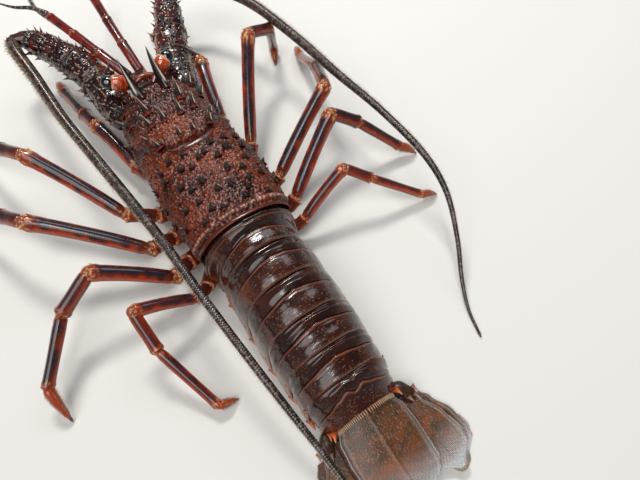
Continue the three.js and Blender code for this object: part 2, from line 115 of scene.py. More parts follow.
def even_angles(section, count):
    """Arch angles that share a section's length evenly, and that length. The section's own points
    are evenly spaced in angle from 0 to pi."""
    length = travel(section)
    angles = np.linspace(0, PI, len(section))
    return np.interp(np.linspace(0, length[-1], count), length, angles), length[-1]


LATTICE = 128
MARGIN = 0.12


def cells(u, v, spacing, seed):
    """Distance to the nearest of a jittered lattice of points, in spacings, and its own number."""
    table = np.random.default_rng(seed).random((LATTICE, LATTICE, 3))
    u, v = np.broadcast_arrays(u / spacing, v / spacing)
    i, j = np.floor(u).astype(int), np.floor(v).astype(int)
    best, own = np.full(u.shape, 9.0), np.zeros(u.shape)
    for di in (-1, 0, 1):
        for dj in (-1, 0, 1):
            r = table[(i + di) % LATTICE, (j + dj) % LATTICE]
            du, dv = (MARGIN + (1 - 2 * MARGIN) * r[..., k] for k in range(2))
            d = np.hypot(i + di + du - u, j + dj + dv - v)
            own = np.where(d < best, r[..., 2], own)
            best = np.minimum(d, best)
    return best, own


def waves(p, size, seed):
    """Smooth seeded noise between about -1 and 1 over points in millimetres."""
    random = np.random.default_rng(seed)
    total = np.zeros(np.shape(p)[:-1])
    for _ in range(7):
        way = unit(random.normal(size=3)) * 2 * PI / (size * random.uniform(0.6, 1.7))
        total += np.sin(p @ way + random.uniform(0, 2 * PI))
    return total / 3.2


# Meshes

def masks(pale=0.0, dark=0.0, warm=0.0, film=0.0):
    """The four paint masks of each point."""
    return np.stack(np.broadcast_arrays(pale, dark, warm, film), axis=-1).clip(0, 1)


class Shape:
    """Points in body-frame millimetres, faces, and the four paint masks of one piece."""

    def __init__(self):
        self.points, self.quads, self.tris, self.paint, self.spots = [], [], [], [], []
        self.size = 0

    def add(self, points, quads, tris=(), paint=0.0, spot=None):
        paint = np.broadcast_to(np.asarray(paint, float), np.shape(points)[:-1] + (4,))
        points = np.asarray(points, float).reshape(-1, 3)
        tris = np.asarray(tris, int).reshape(-1, 3)
        corners = np.concatenate([quads[:, [0, 1, 2]], quads[:, [0, 2, 3]], tris])
        a, b, c = (points[corners[:, k]] - points.mean(0) for k in range(3))
        if np.einsum("ij,ij->", a, np.cross(b, c)) < 0:
            quads, tris = quads[:, ::-1], tris[:, ::-1]
        self.points.append(points)
        self.quads.append(quads + self.size)
        self.tris.append(tris + self.size)
        self.paint.append(paint.reshape(-1, 4))
        if spot is not None:
            self.spots.append(spot.reshape(-1, 2))
        self.size += len(points)


def piece(shape, name, material, nodes=()):
    """Makes one object of a shape, which rides on the body and may stand for CAD nodes."""
    co = (np.concatenate(shape.points) + SHIFT) * MM
    co[:, 2] = np.maximum(co[:, 2], FLOOR_GAP)
    quads, tris = np.concatenate(shape.quads), np.concatenate(shape.tris)
    loops = np.concatenate([quads.ravel(), tris.ravel()]).astype(np.int32)
    starts = np.concatenate([np.arange(len(quads)) * 4, len(quads) * 4 + np.arange(len(tris)) * 3])
    mesh = bpy.data.meshes.new(name)
    mesh.vertices.add(len(co))
    mesh.vertices.foreach_set("co", co.ravel())
    mesh.loops.add(len(loops))
    mesh.loops.foreach_set("vertex_index", loops)
    mesh.polygons.add(len(starts))
    mesh.polygons.foreach_set("loop_start", starts.astype(np.int32))
    mesh.polygons.foreach_set("use_smooth", np.ones(len(starts), bool))
    mesh.update(calc_edges=True)
    paint = mesh.color_attributes.new("paint", "FLOAT_COLOR", "POINT")
    paint.data.foreach_set("color", np.concatenate(shape.paint).clip(0, 1).ravel())
    if shape.spots:
        layer = mesh.uv_layers.new(name="OFBake")
        layer.data.foreach_set("uv", np.concatenate(shape.spots)[loops].ravel())
    mesh.materials.append(material)
    obj = bpy.data.objects.new(name, mesh)
    bpy.context.scene.collection.objects.link(obj)
    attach(obj, "root")
    if nodes:
        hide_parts(*nodes)


def cover(shape, node, material):
    """Makes the piece that stands for one CAD node."""
    piece(shape, f"{node}_shell", material, [node])


def grid(rows, columns, closed):
    """Quads of a lattice of points; closed joins the last column to the first."""
    last = columns if closed else columns - 1
    r, c = np.meshgrid(np.arange(rows - 1), np.arange(last), indexing="ij")
    a, b = r * columns + c, r * columns + (c + 1) % columns
    return np.stack([a, b, b + columns, a + columns], axis=-1).reshape(-1, 4)


def normals(p, closed):
    """Unit normals of a lattice of points, on the side away from its middle."""
    if closed:
        wide = np.concatenate([p[:, -1:], p, p[:, :1]], axis=1)
        along_columns = (wide[:, 2:] - wide[:, :-2]) / 2
    else:
        along_columns = np.gradient(p, axis=1)
    n = unit(np.cross(along_columns, np.gradient(p, axis=0)))
    middle = p.mean(axis=1, keepdims=True) if closed else p.mean(axis=(0, 1))
    return n * np.sign(np.einsum("ijk,ijk->", n, p - middle))


def tuck_sides(p, paint, folds):
    """Turns both side borders of a plate in under it. Folds are (inward, upward), innermost first."""
    first = [p[:, :1] + [-d, 0, h] for d, h in folds]
    last = [p[:, -1:] + [d, 0, h] for d, h in folds[::-1]]
    paint = [paint[:, :1]] * len(first) + [paint] + [paint[:, -1:]] * len(last)
    return np.concatenate(first + [p] + last, axis=1), np.concatenate(paint, axis=1)


def tuck_ends(p, paint, front, rear):
    """Turns the front and rear borders of a plate in under it. Folds are (inward, backward)."""
    n = normals(p, False)
    first = [p[:1] - n[:1] * d + [0, h, 0] for d, h in front]
    last = [p[-1:] - n[-1:] * d + [0, h, 0] for d, h in rear]
    paint = [paint[:1]] * len(first) + [paint] + [paint[-1:]] * len(last)
    return np.concatenate(first + [p] + last), np.concatenate(paint)


def sweep(path, across, upward, sides):
    """Lattice of points round a path. The half axes are one number, one a ring, or one a point."""
    path = np.asarray(path, float)
    tangent = unit(np.gradient(path, axis=0))
    side = unit(np.cross(UP, tangent[0]))
    frames = []
    for t in tangent:
        side = unit(side - np.dot(side, t) * t)
        frames.append((side, np.cross(t, side)))
    side, top = (np.array([f[k] for f in frames])[:, None, :] for k in range(2))
    angle = np.linspace(0, 2 * PI, sides, endpoint=False)
    across, upward = (np.reshape(h, (len(path), -1)) if np.ndim(h) else h for h in (across, upward))
    points = path[:, None] + side * (np.cos(angle) * across)[..., None]
    return points + top * (np.sin(angle) * upward)[..., None], angle


def add_tube(shape, points, paint):
    """Adds a closed lattice of points with a fan over each end."""
    rows, sides = points.shape[:2]
    paint = np.broadcast_to(np.asarray(paint, float), (rows, sides, 4)).reshape(-1, 4)
    k = np.arange(sides)
    after, last = (k + 1) % sides, (rows - 1) * sides
    middle = np.full(sides, rows * sides)
    fans = np.concatenate([np.stack([middle, after, k], axis=1),
                           np.stack([middle + 1, last + k, last + after], axis=1)])
    points = np.concatenate([points.reshape(-1, 3), points[[0, -1]].mean(axis=1)])
    shape.add(points, grid(rows, sides, True), fans, np.concatenate([paint, paint[:1], paint[-1:]]))


def spikes(base, aim, length, radius, sides=7, rings=5, hook=(0, 0, 0), foot=0.35):
    """Many tapered spikes at once: their points, quads, tris and share of the way to the tip."""
    base = np.atleast_2d(base).astype(float)
    n = len(base)
    aim, hook = (np.broadcast_to(v, (n, 3)) for v in (unit(np.atleast_2d(aim)), hook))
    length, radius = (np.broadcast_to(size, (n,))[:, None] for size in (length, radius))
    side = unit(np.cross(np.where(np.abs(aim[:, 2:]) > 0.8, [[1.0, 0, 0]], UP), aim))
    other = np.cross(aim, side)
    t = np.linspace(0, 1, rings + 1)[:-1]
    profile = (1 - t) ** 0.8 * (1 - foot) + foot * (1 - t) ** 5
    angle = np.linspace(0, 2 * PI, sides, endpoint=False)[:, None]
    run = t[:, None]
    axis = base[:, None] + (aim[:, None] * run + hook[:, None] * run ** 2) * length[..., None]
    ring = side[:, None] * np.cos(angle) + other[:, None] * np.sin(angle)
    points = axis[:, :, None] + ring[:, None] * (radius * profile)[..., None, None]
    tips = base + (aim + hook) * length
    points = np.concatenate([points.reshape(n, -1, 3), tips[:, None]], axis=1)
    count = rings * sides + 1
    start = (np.arange(n) * count)[:, None, None]
    k = np.arange(sides)
    top = (rings - 1) * sides
    tris = np.stack([top + k, top + (k + 1) % sides, np.full(sides, rings * sides)], axis=1)
    quads, tris = (grid(rings, sides, True) + start).reshape(-1, 4), (tris + start).reshape(-1, 3)
    share = np.concatenate([np.repeat(t, sides), [1.0]])
    return points, quads, tris, np.broadcast_to(share, (n, count))


# Paint of spikes, as knots of (share of the length, (pale, dark, warm, film))
SPINE_PAINT = ((0, (0, 0.6, 0.2, 0)), (0.1, (0, 0.95, 0, 0)), (0.75, (0.05, 1, 0, 0)),
               (1, (0.6, 0.3, 0.35, 0)))
STREAKED = ((0, (0, 0.1, 0.9, 0)), (0.16, (0, 0.7, 0.5, 0)), (0.3, (0, 1, 0, 0)), (0.85, (0.1, 1, 0, 0)),
            (1, (0.8, 0.1, 0.1, 0)))
# The pale streak up the long front spines is a painted highlight
HIGHLIGHT_STREAK = ((0, (0.3, 0.4, 0, 0)), (0.3, (0.8, 0, 0, 0)), (1, (0.9, 0, 0, 0)))
PALE_SPINE = ((0, (0, 0.5, 0.25, 0)), (0.35, (0.12, 0.6, 0.25, 0)), (0.75, (0.7, 0, 0.3, 0)),
              (1, (1, 0, 0.1, 0)))
ORANGE_SPUR = ((0, (0, 0.4, 0.2, 0)), (0.3, (0, 0, 0.8, 0)), (0.7, (0.2, 0, 0.8, 0)), (1, (0.9, 0, 0.3, 0)))
FAN_SPUR = ((0, (0, 0, 0.9, 0)), (0.7, (0.3, 0, 0.8, 0)), (1, (0.8, 0, 0.3, 0)))
COMB = ((0, (0.1, 0, 0.7, 0)), (0.5, (0.8, 0, 0.4, 0)), (1, (1, 0, 0.2, 0)))
JOINT_BEAD = ((0, (0.2, 0, 0.8, 0)), (0.5, (0.8, 0, 0.5, 0)), (1, (1, 0, 0.2, 0)))
JOINT_TOOTH = ((0, (0, 0, 0.8, 0)), (0.6, (0.4, 0, 0.6, 0)), (1, (0.9, 0, 0, 0)))


def add_spikes(shape, base, aim, length, radius, knots=SPINE_PAINT, **more):
    points, quads, tris, share = spikes(base, aim, length, radius, **more)
    place, values = zip(*knots)
    paint = np.stack([np.interp(share, place, mask) for mask in zip(*values)], axis=-1)
    shape.add(points, quads, tris, paint)


def add_hairs(shape, base, aim, length, radius, spot, hook, seed, paint=(0.4, 0, 0, 0)):
    """Fine bristles, each with its own small patch of the bake map."""
    random = np.random.default_rng(seed)
    n = len(base)
    aim = unit(np.broadcast_to(aim, (n, 3)) + random.normal(0, 0.16, (n, 3)))
    length = np.broadcast_to(length, (n,)) * random.uniform(0.7, 1.15, n)
    bend = np.broadcast_to(hook, (n, 3)) * random.uniform(0.5, 1.2, (n, 1))
    points, quads, tris, share = spikes(base, aim, length, radius, sides=3, rings=3, hook=bend, foot=0)
    turn = np.arange(points.shape[1]) * 2.4
    patch = np.stack([np.cos(turn), np.sin(turn)], axis=-1) * 0.0014 * share[0][:, None]
    spots = np.clip(spot, 0.004, 0.996)[:, None] + patch
    tone = np.array(paint) + random.normal(0, 0.08, (n, 1, 1)) * np.array([1, 0, 0, 0])
    shape.add(points, quads, tris, np.broadcast_to(tone, points.shape[:2] + (4,)), spots)


# Materials

GRAIN = 0.35


def rgb(hexa):
    c = np.array([int(hexa[i:i + 2], 16) for i in (0, 2, 4)]) / 255
    return tuple(np.where(c <= 0.04045, c / 12.92, ((c + 0.055) / 1.055) ** 2.4)) + (1.0,)


def feed(node, inputs):
    """Links each named input of a node to a socket, or sets it to a value."""
    for label, value in inputs.items():
        if hasattr(value, "node"):
            node.id_data.links.new(value, node.inputs[label])
        else:
            node.inputs[label].default_value = value


def shell_material(name, ground, second, dark, warm, pale, fleck=None, fleck_size=0.5,
                   blotch=9.0, rough=(0.2, 0.4), coat=0.5, bump=0.15, thin=0.0, shine=0.35):
    """Wet shell. Sizes in millimetres. The paint masks bring in the dark, warm and pale colours,
    and the fourth one, alpha, a smooth wet film."""
    material = bpy.data.materials.new(name)
    material.use_nodes = True
    nodes = material.node_tree.nodes
    shader = nodes["Principled BSDF"]
    place = nodes.new("ShaderNodeTexCoord").outputs["Object"]

    def node(kind, output, inputs, **settings):
        made = nodes.new("ShaderNode" + kind)
        for label, value in settings.items():
            setattr(made, label, value)
        feed(made, inputs)
        return made.outputs[output]

    def noise(size, detail, distort=0.0):
        return node("TexNoise", "Fac", {"Vector": place, "Scale": 1000 / size, "Detail": detail,
                                        "Distortion": distort})

    def ramp(value, low, high, to_low=0.0, to_high=1.0):
        return node("MapRange", "Result", {"Value": value, "From Min": low, "From Max": high,
                                           "To Min": to_low, "To Max": to_high},
                    interpolation_type="SMOOTHSTEP")

    def combine(kind, a, b):
        return node("Math", "Value", {0: a, 1: b}, operation=kind, use_clamp=True)

    def mix(factor, a, b):
        return node("Mix", "Result", {"Factor": factor, "A": a, "B": b}, data_type="RGBA")

    attribute = nodes.new("ShaderNodeAttribute")
    attribute.attribute_name = "paint"
    split = nodes.new("ShaderNodeSeparateColor")
    feed(split, {"Color": attribute.outputs["Color"]})
    is_pale, is_dark, is_warm = split.outputs
    fine = noise(GRAIN, 3.0)
    patchy = ramp(fine, 0.3, 0.7, 0.72, 1.25)
    colour = mix(ramp(noise(blotch, 4.0, 0.4), 0.38, 0.62), rgb(ground), rgb(second))
    if fleck:
        dots = node("TexVoronoi", "Distance", {"Vector": place, "Scale": 1000 / fleck_size,
                                               "Randomness": 1.0})
        some = ramp(noise(blotch * 0.4, 2.0), 0.42, 0.6)
        colour = mix(combine("MULTIPLY", ramp(dots, 0.18, 0.4, 1.0, 0.0), some), colour, rgb(fleck))
    for mask, strength, tint in ((is_warm, patchy, warm), (is_dark, 1.0, dark), (is_pale, patchy, pale)):
        colour = mix(combine("MULTIPLY", mask, strength), colour, rgb(tint))
    film = combine("MULTIPLY", attribute.outputs["Alpha"], rough[0] - 0.1)
    feed(shader, {
        "Base Color": colour,
        "Roughness": combine("SUBTRACT", ramp(fine, 0.3, 0.7, *rough), film),
        "Coat Weight": coat,
        "Coat Roughness": 0.08,
        "Specular IOR Level": shine,
        "Normal": node("Bump", "Normal", {"Strength": bump, "Distance": 0.2 * MM, "Height": fine}),
    })
    if thin:
        feed(shader, {"Subsurface Weight": thin, "Subsurface Radius": (0.002, 0.0008, 0.0004)})
    return material


SHELL = shell_material("shell", "49150a", "3a1108", "0a0404", "84340f", "c09082", fleck="63301a",
                       fleck_size=1.3, blotch=12, rough=(0.2, 0.38), coat=0.15, shine=0.24)
SPINES = shell_material("spine", "170a09", "1e0c0a", "080404", "7a2412", "d6bba8", rough=(0.45, 0.6),
                        coat=0.0, bump=0.05, shine=0.13)
SPINY = shell_material("peduncle", "2e100d", "200b0c", "070405", "8c2a10", "a88660", fleck="48221a",
                       fleck_size=1.2, blotch=7, rough=(0.14, 0.28), coat=0.4, shine=0.35)
HORNS = shell_material("horn", "160808", "260d0a", "070405", "5e1c10", "e0d2c2", rough=(0.3, 0.4),
                       coat=0.05, shine=0.15)
BELLY = shell_material("belly", "a8683c", "8a4726", "43190f", "9c3c17", "dcbf90", fleck="6a2d18",
                       fleck_size=1.6, blotch=8, rough=(0.3, 0.5), coat=0.25, thin=0.1)
TAIL = shell_material("abdomen", "220d09", "36140b", "080404", "86452a", "a88a68", fleck="643a22",
                      fleck_size=0.9, blotch=11, rough=(0.17, 0.3), coat=0.35, bump=0.1)
SPUR = shell_material("spur", "a8400f", "8a300c", "32100a", "bd5216", "e6b878", rough=(0.25, 0.4), coat=0.3)
FAN = shell_material("fan", "3f301d", "56331c", "17110c", "804626", "bcbec0", fleck="8a6038",
                     fleck_size=0.8, blotch=6, rough=(0.34, 0.5), coat=0.12)
LEG = shell_material("leg", "561a0f", "3e130c", "151b26", "a83a10", "d6a86c", fleck="7a3f20",
                     fleck_size=0.9, blotch=8, rough=(0.18, 0.3), coat=0.4, bump=0.08)
WHIP = shell_material("whip", "1a100d", "261712", "0a0606", "4c2616", "a0958a", fleck="3c2e26",
                      fleck_size=0.7, blotch=5, rough=(0.2, 0.34), coat=0.35)
STALK = shell_material("antennule", "5c140f", "40110f", "170a0b", "9a2813", "b87c58", rough=(0.16, 0.28),
                       coat=0.4)
EYES = shell_material("eye", "a02b0c", "841f0a", "030303", "c84a1a", "d8b88a", rough=(0.06, 0.12), coat=1.0,
                      bump=0.02, shine=0.5)
HAIR = shell_material("bristle", "6e5642", "523f30", "2c1c12", "a8622c", "c2b298", rough=(0.4, 0.6), coat=0.0,
                      bump=0.0)


# Carapace

LENGTH, HALF_WIDTH, TOP, EDGE = 86.0, 25.3, 45.5, 14.5
SIDE_POWER, TOP_POWER = 0.78, 0.82
CARAPACE_WIDTHS = [[0, 0.8], [9, 0.88], [30, 0.93], [54, 1.0], [68, 1.0], [86, 0.93]]
CARAPACE_TOPS = [[0, 0.846], [12, 0.89], [36, 0.958], [43.5, 0.943], [50, 0.98], [64, 1], [86, 0.936]]
GROOVE = [[0, 43.3], [7, 42.6], [14, 36], [21, 26], [27, 18]]
RIM, BEAD_LINE = 84.4, 82.0
WIDEST = 54.0

# Big spines of the back, which point forward: sideways place, y, length
FRONT_SPINES = [(8, 15.5, 8.5), (3.4, 26.5, 6.2), (10.3, 24, 6.4), (3.2, 37.7, 4.2), (11.7, 36.6, 4.6),
                (16, 4.5, 6.5), (17.5, 14, 5.5), (20.3, 23, 4.6), (14.8, 30.5, 3.6)]
REAR_SPINES = [(12.4, 46.7, 3.6), (6.0, 48.5, 3.6), (1.2, 52.9, 3.0), (10.5, 53.6, 3.4), (17.6, 53, 3.4),
               (5.7, 55.6, 3.0), (17.4, 47.8, 3.2), (15, 61.5, 3.4), (23.1, 50.7, 3.2), (6, 64.2, 3.2),
               (2.4, 71.4, 3.0), (17, 69.8, 3.2), (22.7, 60.5, 3.2), (11.2, 72.1, 2.8), (8.6, 76.2, 2.6),
               (20.3, 74.5, 2.8), (5.5, 78.6, 2.3), (23.6, 68, 3.0), (11.4, 65.4, 2.6), (13.8, 78.9, 2.2)]
# Spines of the front margin: arch angle, length
MARGIN_SPINES = [(0.2, 5.0), (0.5, 4.2), (0.78, 6.5), (1.08, 3.5)]


def carapace_at(angle, y):
    half = HALF_WIDTH * blend(CARAPACE_WIDTHS, y)
    top = TOP * blend(CARAPACE_TOPS, y)
    rise = np.sin(angle)
    reach = np.sign(np.cos(angle)) * np.abs(np.cos(angle)) ** SIDE_POWER
    x = half * (1 - 0.13 * (1 - rise) ** 3) * reach
    z = EDGE + (top - EDGE) * np.clip(rise, 0, 1) ** TOP_POWER
    lean = blend([[60, 0], [LENGTH, 5]], y) * (1 - rise) ** 2
    return np.stack(np.broadcast_arrays(x, y - lean, z), axis=-1)


def angle_for(x, y):
    """Arch angle of a point of the carapace's back at a sideways place."""
    half = HALF_WIDTH * blend(CARAPACE_WIDTHS, y)
    return np.arccos(np.sign(x) * np.minimum(np.abs(x) / half, 0.999) ** (1 / SIDE_POWER))


def carapace_frame(angle, y):
    """Points and outward normals of the bare arch."""
    p = carapace_at(angle, y)
    n = unit(np.cross(carapace_at(angle, y + 0.2) - p, carapace_at(angle + 0.01, y) - p))
    outward = p * [1, 0, 1] - 20.0 * UP
    return p, n * np.sign((n * outward).sum(-1, keepdims=True))


def groove_place(x):
    return blend(GROOVE, np.abs(x))


def build_carapace():
    rows, columns = 285, 301
    angles, girth = even_angles(carapace_at(np.linspace(0, PI, 1500), WIDEST), columns)
    angle, y = np.meshgrid(angles, np.linspace(0.0, LENGTH, rows))
    s = np.linspace(-girth / 2, girth / 2, columns)
    p = carapace_at(angle, y)
    n = normals(p, False)
    out = np.abs(p[..., 0])
    gap = y - groove_place(out)
    groove = bell(gap, 2.0)
    rim = step(y, RIM, RIM + 0.5)
    furrow = bell(y - RIM + 0.4, 0.6)
    foot = np.minimum(angle, PI - angle)
    relief = -1.4 * plateau(gap - 0.2, 2.7) + 0.5 * bell(gap + 5, 3) + 0.3 * bell(gap - 5, 3.5)
    relief += -0.8 * furrow + 0.25 * rim + 0.2 * waves(p, 14, 3) + 0.5 * bell(foot, 0.035)
    relief += -0.35 * bell(out - 9.5 + 0.03 * (y - 50), 1.3) * step(y, 47, 54) * (1 - rim)
    bare = 1 - 0.98 * plateau(gap - 0.2, 2.4) * step(out, 15, 9) - 0.5 * bell(gap, 1.3) * step(out, 9, 15)
    bare = bare * (1 - rim) * step(foot, 0.04, 0.12)
    near, own = cells(s, y, 1.22, 5)
    grains = dome(near, 0.4 + 0.12 * own) ** 0.6 * (0.3 + 0.2 * own)
    big, who = cells(s + 40, y + 9, 3.4, 8)
    knobs = dome(big, 0.17 + 0.1 * who) ** 0.7 * 0.65 * (who > 0.35)
    beads = dome(cells(s, 0.5, 1.6, 4)[0], 0.55) ** 0.6 * bell(y - BEAD_LINE, 0.75)
    relief += bare * np.maximum(grains, knobs) + 0.9 * beads
    p = p + n * relief[..., None]
    warm = 0.35 + 0.35 * waves(p, 16, 11) + 0.25 * step(out, 17, 24)
    warm = warm * (1 - 0.6 * groove) * (1 - rim) + 0.35 * rim
    # The granule tops are paler, partly in their own colour and partly as painted glints, which are kept off
    # the flanks
    pale = 0.36 * bare * np.clip(grains / 0.42, 0, 1) ** 4 * (own > 0.6) * (1 - 0.7 * step(out, 10, 21))
    # Painted glints: the tops of the beads along the rear margin are painted pale
    pale = pale + 0.85 * beads ** 2
    dark = 0.5 * bare * (1 - np.clip(grains / 0.22, 0, 1)) + 0.6 * (knobs > 0.2) * bare
    dark = dark + 0.4 * groove + 0.6 * furrow + 0.35 * rim + 0.45 * step(y, 40, 10) + 0.15 * step(out, 16, 24)
    wet = plateau(gap - 0.2, 2.6) * step(out, 13, 8) + 0.8 * beads
    paint = masks(pale, dark.clip(0, 0.9), warm.clip(0, 0.9), wet)
    p, paint = tuck_sides(p, paint, ((2.6, 1.6), (1.6, -0.3), (0.5, -0.5)))
    p, paint = tuck_ends(p, paint, ((2.6, 4.0), (1.5, 0.6), (0.4, -0.35)),
                         ((0.3, 0.25), (0.9, 0.1), (1.5, -3.5)))
    shape = Shape()
    shape.add(p, grid(*p.shape[:2], False), paint=paint)
    return shape


def carapace_spines():
    shape = Shape()
    random = np.random.default_rng(12)
    for table, radius, size, knots in ((FRONT_SPINES, 1.9, 1.0, STREAKED),
                                       (REAR_SPINES, 2.25, 0.82, SPINE_PAINT)):
        for x, y, length in table:
            length = size * length
            for side in (1, -1):
                x_here, y_here = side * x + random.normal(0, 0.4), y + random.normal(0, 0.5)
                p, n = carapace_frame(angle_for(x_here, y_here), y_here)
                aim = unit(0.7 * n + 0.8 * FORWARD)
                wide = radius * (0.8 + 0.07 * length)
                add_spikes(shape, p - n * 0.45, aim, length + 0.6, wide, knots, sides=14, rings=10,
                           hook=0.16 * n, foot=0.45)
                if table is FRONT_SPINES:
                    # A pale ridge runs up the top of each long spine, set off to its -x side; its pale paint
                    # is a painted highlight
                    ridge = p + n * (0.48 * wide - 0.45) + aim * 0.14 * length - [0.38 * wide, 0, 0]
                    add_spikes(shape, ridge, aim, 0.8 * length, 0.17 * wide, HIGHLIGHT_STREAK, sides=8, rings=6,
                               hook=0.12 * n + [0.1, 0, 0])
    # Smaller ones on the flanks, given by their arch angle
    for angle in np.linspace(0.16, 0.85, 7):
        for y in np.arange(12, 80, 8.5) + 4 * (angle * 7 % 1):
            for side in (1, -1):
                place = y + random.normal(0, 1.3)
                p, n = carapace_frame((angle if side > 0 else PI - angle) + random.normal(0, 0.02), place)
                if abs(place - groove_place(p[0])) < 3:
                    continue
                add_spikes(shape, p - n * 0.3, unit(0.7 * n + 0.75 * FORWARD), random.uniform(1.5, 2.5),
                           random.uniform(0.6, 0.85), sides=9, rings=5)
    for angle, length in MARGIN_SPINES:
        for side in (1, -1):
            p, n = carapace_frame(angle if side > 0 else PI - angle, 1.6)
            add_spikes(shape, p - n * 0.3, unit(0.45 * n + FORWARD), length, 1.25, sides=12, rings=8,
                       hook=0.1 * UP)
    return shape


# Abdomen

# Each ring's front, groove and rear, and how far its foot points back
RINGS = [(86.6, 92, 99.3, 1.5), (99.6, 105, 114.6, 4), (114.9, 120.5, 130.2, 4),
         (130.5, 135, 143.6, 4), (143.9, 148, 155.2, 4), (155.5, 160, 168.8, 1)]
TAIL_TOPS = [[86, 40], [108, 39.5], [125, 37.3], [140, 33.6], [155, 28], [169, 19.5]]
TAIL_WIDTHS = [[86, 0.93], [105, 1.0], [130, 1.0], [155, 0.93], [163, 0.84], [169, 0.72]]
TAIL_HALF = 20.5
UNDERLAP = 2.2


def ring_at(angle, y, scale, foot_height, foot_back):
    half = TAIL_HALF * blend(TAIL_WIDTHS, y) * scale
    top = blend(TAIL_TOPS, y) * scale
    foot = np.minimum(foot_height, top / 2)
    rise = np.clip(np.sin(angle), 0, 1)
    reach = np.sign(np.cos(angle)) * np.abs(np.cos(angle)) ** 0.86
    x, z = half * reach, foot + (top - foot) * rise ** 0.78
    return np.stack(np.broadcast_arrays(x, y + foot_back * (1 - rise) ** 4, z), axis=-1)


def build_ring(index, spurs):
    front, groove, rear, point = RINGS[index]
    before = RINGS[index - 1][3] if index else 0.0
    first, last = index == 0, index == 5
    rows, columns = 110, 181
    angles, girth = even_angles(ring_at(np.linspace(0, PI, 900), groove, 1, 5, 0), columns)
    start = front - UNDERLAP
    angle, y = np.meshgrid(angles, np.linspace(start, rear, rows))
    side = np.abs(ring_at(angle, y, 1, 5, 0)[..., 0])
    # The groove runs back from a small peak in the middle
    peak = [[0, 0.9], [3.5, -0.5], [8, 0.7], [13, 2.6], [20, 3.4]] if last else \
        [[0, -0.5], [3.4, 0.0], [12, 1.2], [20, 1.8]]
    place = y - blend(peak, side) * bell(y - groove, 3.0)
    high = 0.068 * first
    scale = blend([[start, 0.925 + high], [front + 0.5, 0.957 + high], [groove - 2.4, 0.986 + high / 2],
                   [groove - 0.7, 0.979], [groove, 0.962], [groove + 0.6, 0.988], [groove + 2.4, 0.998],
                   [rear - 2.6, 1.0], [rear - 0.6, 0.994], [rear, 0.975]], place)
    foot = blend([[start, 11], [front, 10], [groove, 6.4], [rear - 2, 2.2], [rear, 0.9]], y)
    back = blend([[start, before], [groove, 0.5], [rear, point]], y)
    p = ring_at(angle, y, scale, foot, back)
    if first:
        p[..., 0] *= 1 + 0.16 * step(y, 91.5, 85)
        p[..., 2] += 0.6 * step(y, 91.5, 85)
    line = bell(place - groove - 0.75, 0.42)
    edge = bell(y - rear + 0.3, 0.45)
    pits, own = cells(girth * angle / PI, y, 1.1, 50 + index)
    smooth = step(y, groove + 1.4, groove + 2.6)
    relief = 0.14 * line + 0.1 * waves(p, 9, 31 + index) - 0.07 * dome(pits, 0.24) * (own > 0.4) * smooth
    p = p + normals(p, False) * relief[..., None]
    if first:
        # A fine line lies on the part that slides under the carapace
        thin = bell(y + 0.05 * side - 88.9, 0.3)
        crease = 0.22 * thin - 0.2 * bell(y + 0.05 * side - 88.2, 0.4)
        p = p + normals(p, False) * crease[..., None]
        line = np.maximum(line, 0.6 * thin)
    low = np.minimum(angle, PI - angle)
    warm = 0.7 * line * (0.55 + 0.45 * step(low, 0.5, 1.1)) + 0.5 * step(low, 0.42, 0.05) + 0.2 * edge
    warm += 0.25 * np.clip(waves(p, 12, 41 + index), 0, 1) * step(side, 8, 17)
    warm += 0.9 * last * bell(side - 15, 2.6) * step(y, rear - 5, rear - 1)
    pale = 0.5 * (own > 0.62) * dome(pits, 0.2) * smooth + 0.1 * edge
    # Painted shade: a dark line in the crease just ahead of each groove. The front part, outside the smooth
    # band, is darker too
    dark = 0.4 * bell(place - groove + 0.25, 0.6) + 0.3 * (1 - smooth) * (1 - line)
    p, paint = tuck_sides(p, masks(pale, dark, warm), ((1.9, 3.0), (1.1, 0.6), (0.35, -0.1)))
    p, paint = tuck_ends(p, paint, (), ((0.3, 0.12), (0.8, -0.1), (1.2, -2.0)))
    shape = Shape()
    shape.add(p, grid(*p.shape[:2], False), paint=paint)
    # The points at the foot of each side, with small teeth above them
    half = TAIL_HALF * blend(TAIL_WIDTHS, rear)
    for hand in (1, -1):
        if last:
            add_spikes(spurs, [14.2 * hand, rear - 1.4, 14.2], [0.35 * hand, 1.0, 0.05], 3.8, 1.5,
                       ORANGE_SPUR, sides=12, rings=7, hook=(0, 0, -0.1))
            add_spikes(spurs, [15.2 * hand, rear - 2.4, 10.5], [0.4 * hand, 1.0, -0.1], 3.2, 1.2, ORANGE_SPUR,
                       sides=12, rings=7, hook=(-0.1 * hand, 0, 0))
            continue
        add_spikes(spurs, [(half - 1.2) * hand, rear + point - 2.2, 3.0], [0.16 * hand, 1.0, 0.02],
                   3.4 if first else 5.2, 2.0, ORANGE_SPUR, sides=12, rings=8, hook=(-0.1 * hand, 0, -0.04))
        for lift, size in ((6.6, 2.0), (9.2, 1.5), (11.8, 1.2)):
            base = [(half - 0.55) * hand, rear + point * (1 - lift / 20) ** 3 - 1.2, lift]
            add_spikes(spurs, base, [0.25 * hand, 1.0, 0.1], size, 0.7, ORANGE_SPUR, sides=9, rings=5)
    if last:
        base = ring_at(np.linspace(0.62, PI - 0.62, 36), rear - 0.9, 1.0, 0.9, 1)
        add_spikes(shape, base, [0, 1, 0.02], 2.1, 0.4, COMB, sides=8, rings=4, foot=0)
    return shape


# Legs

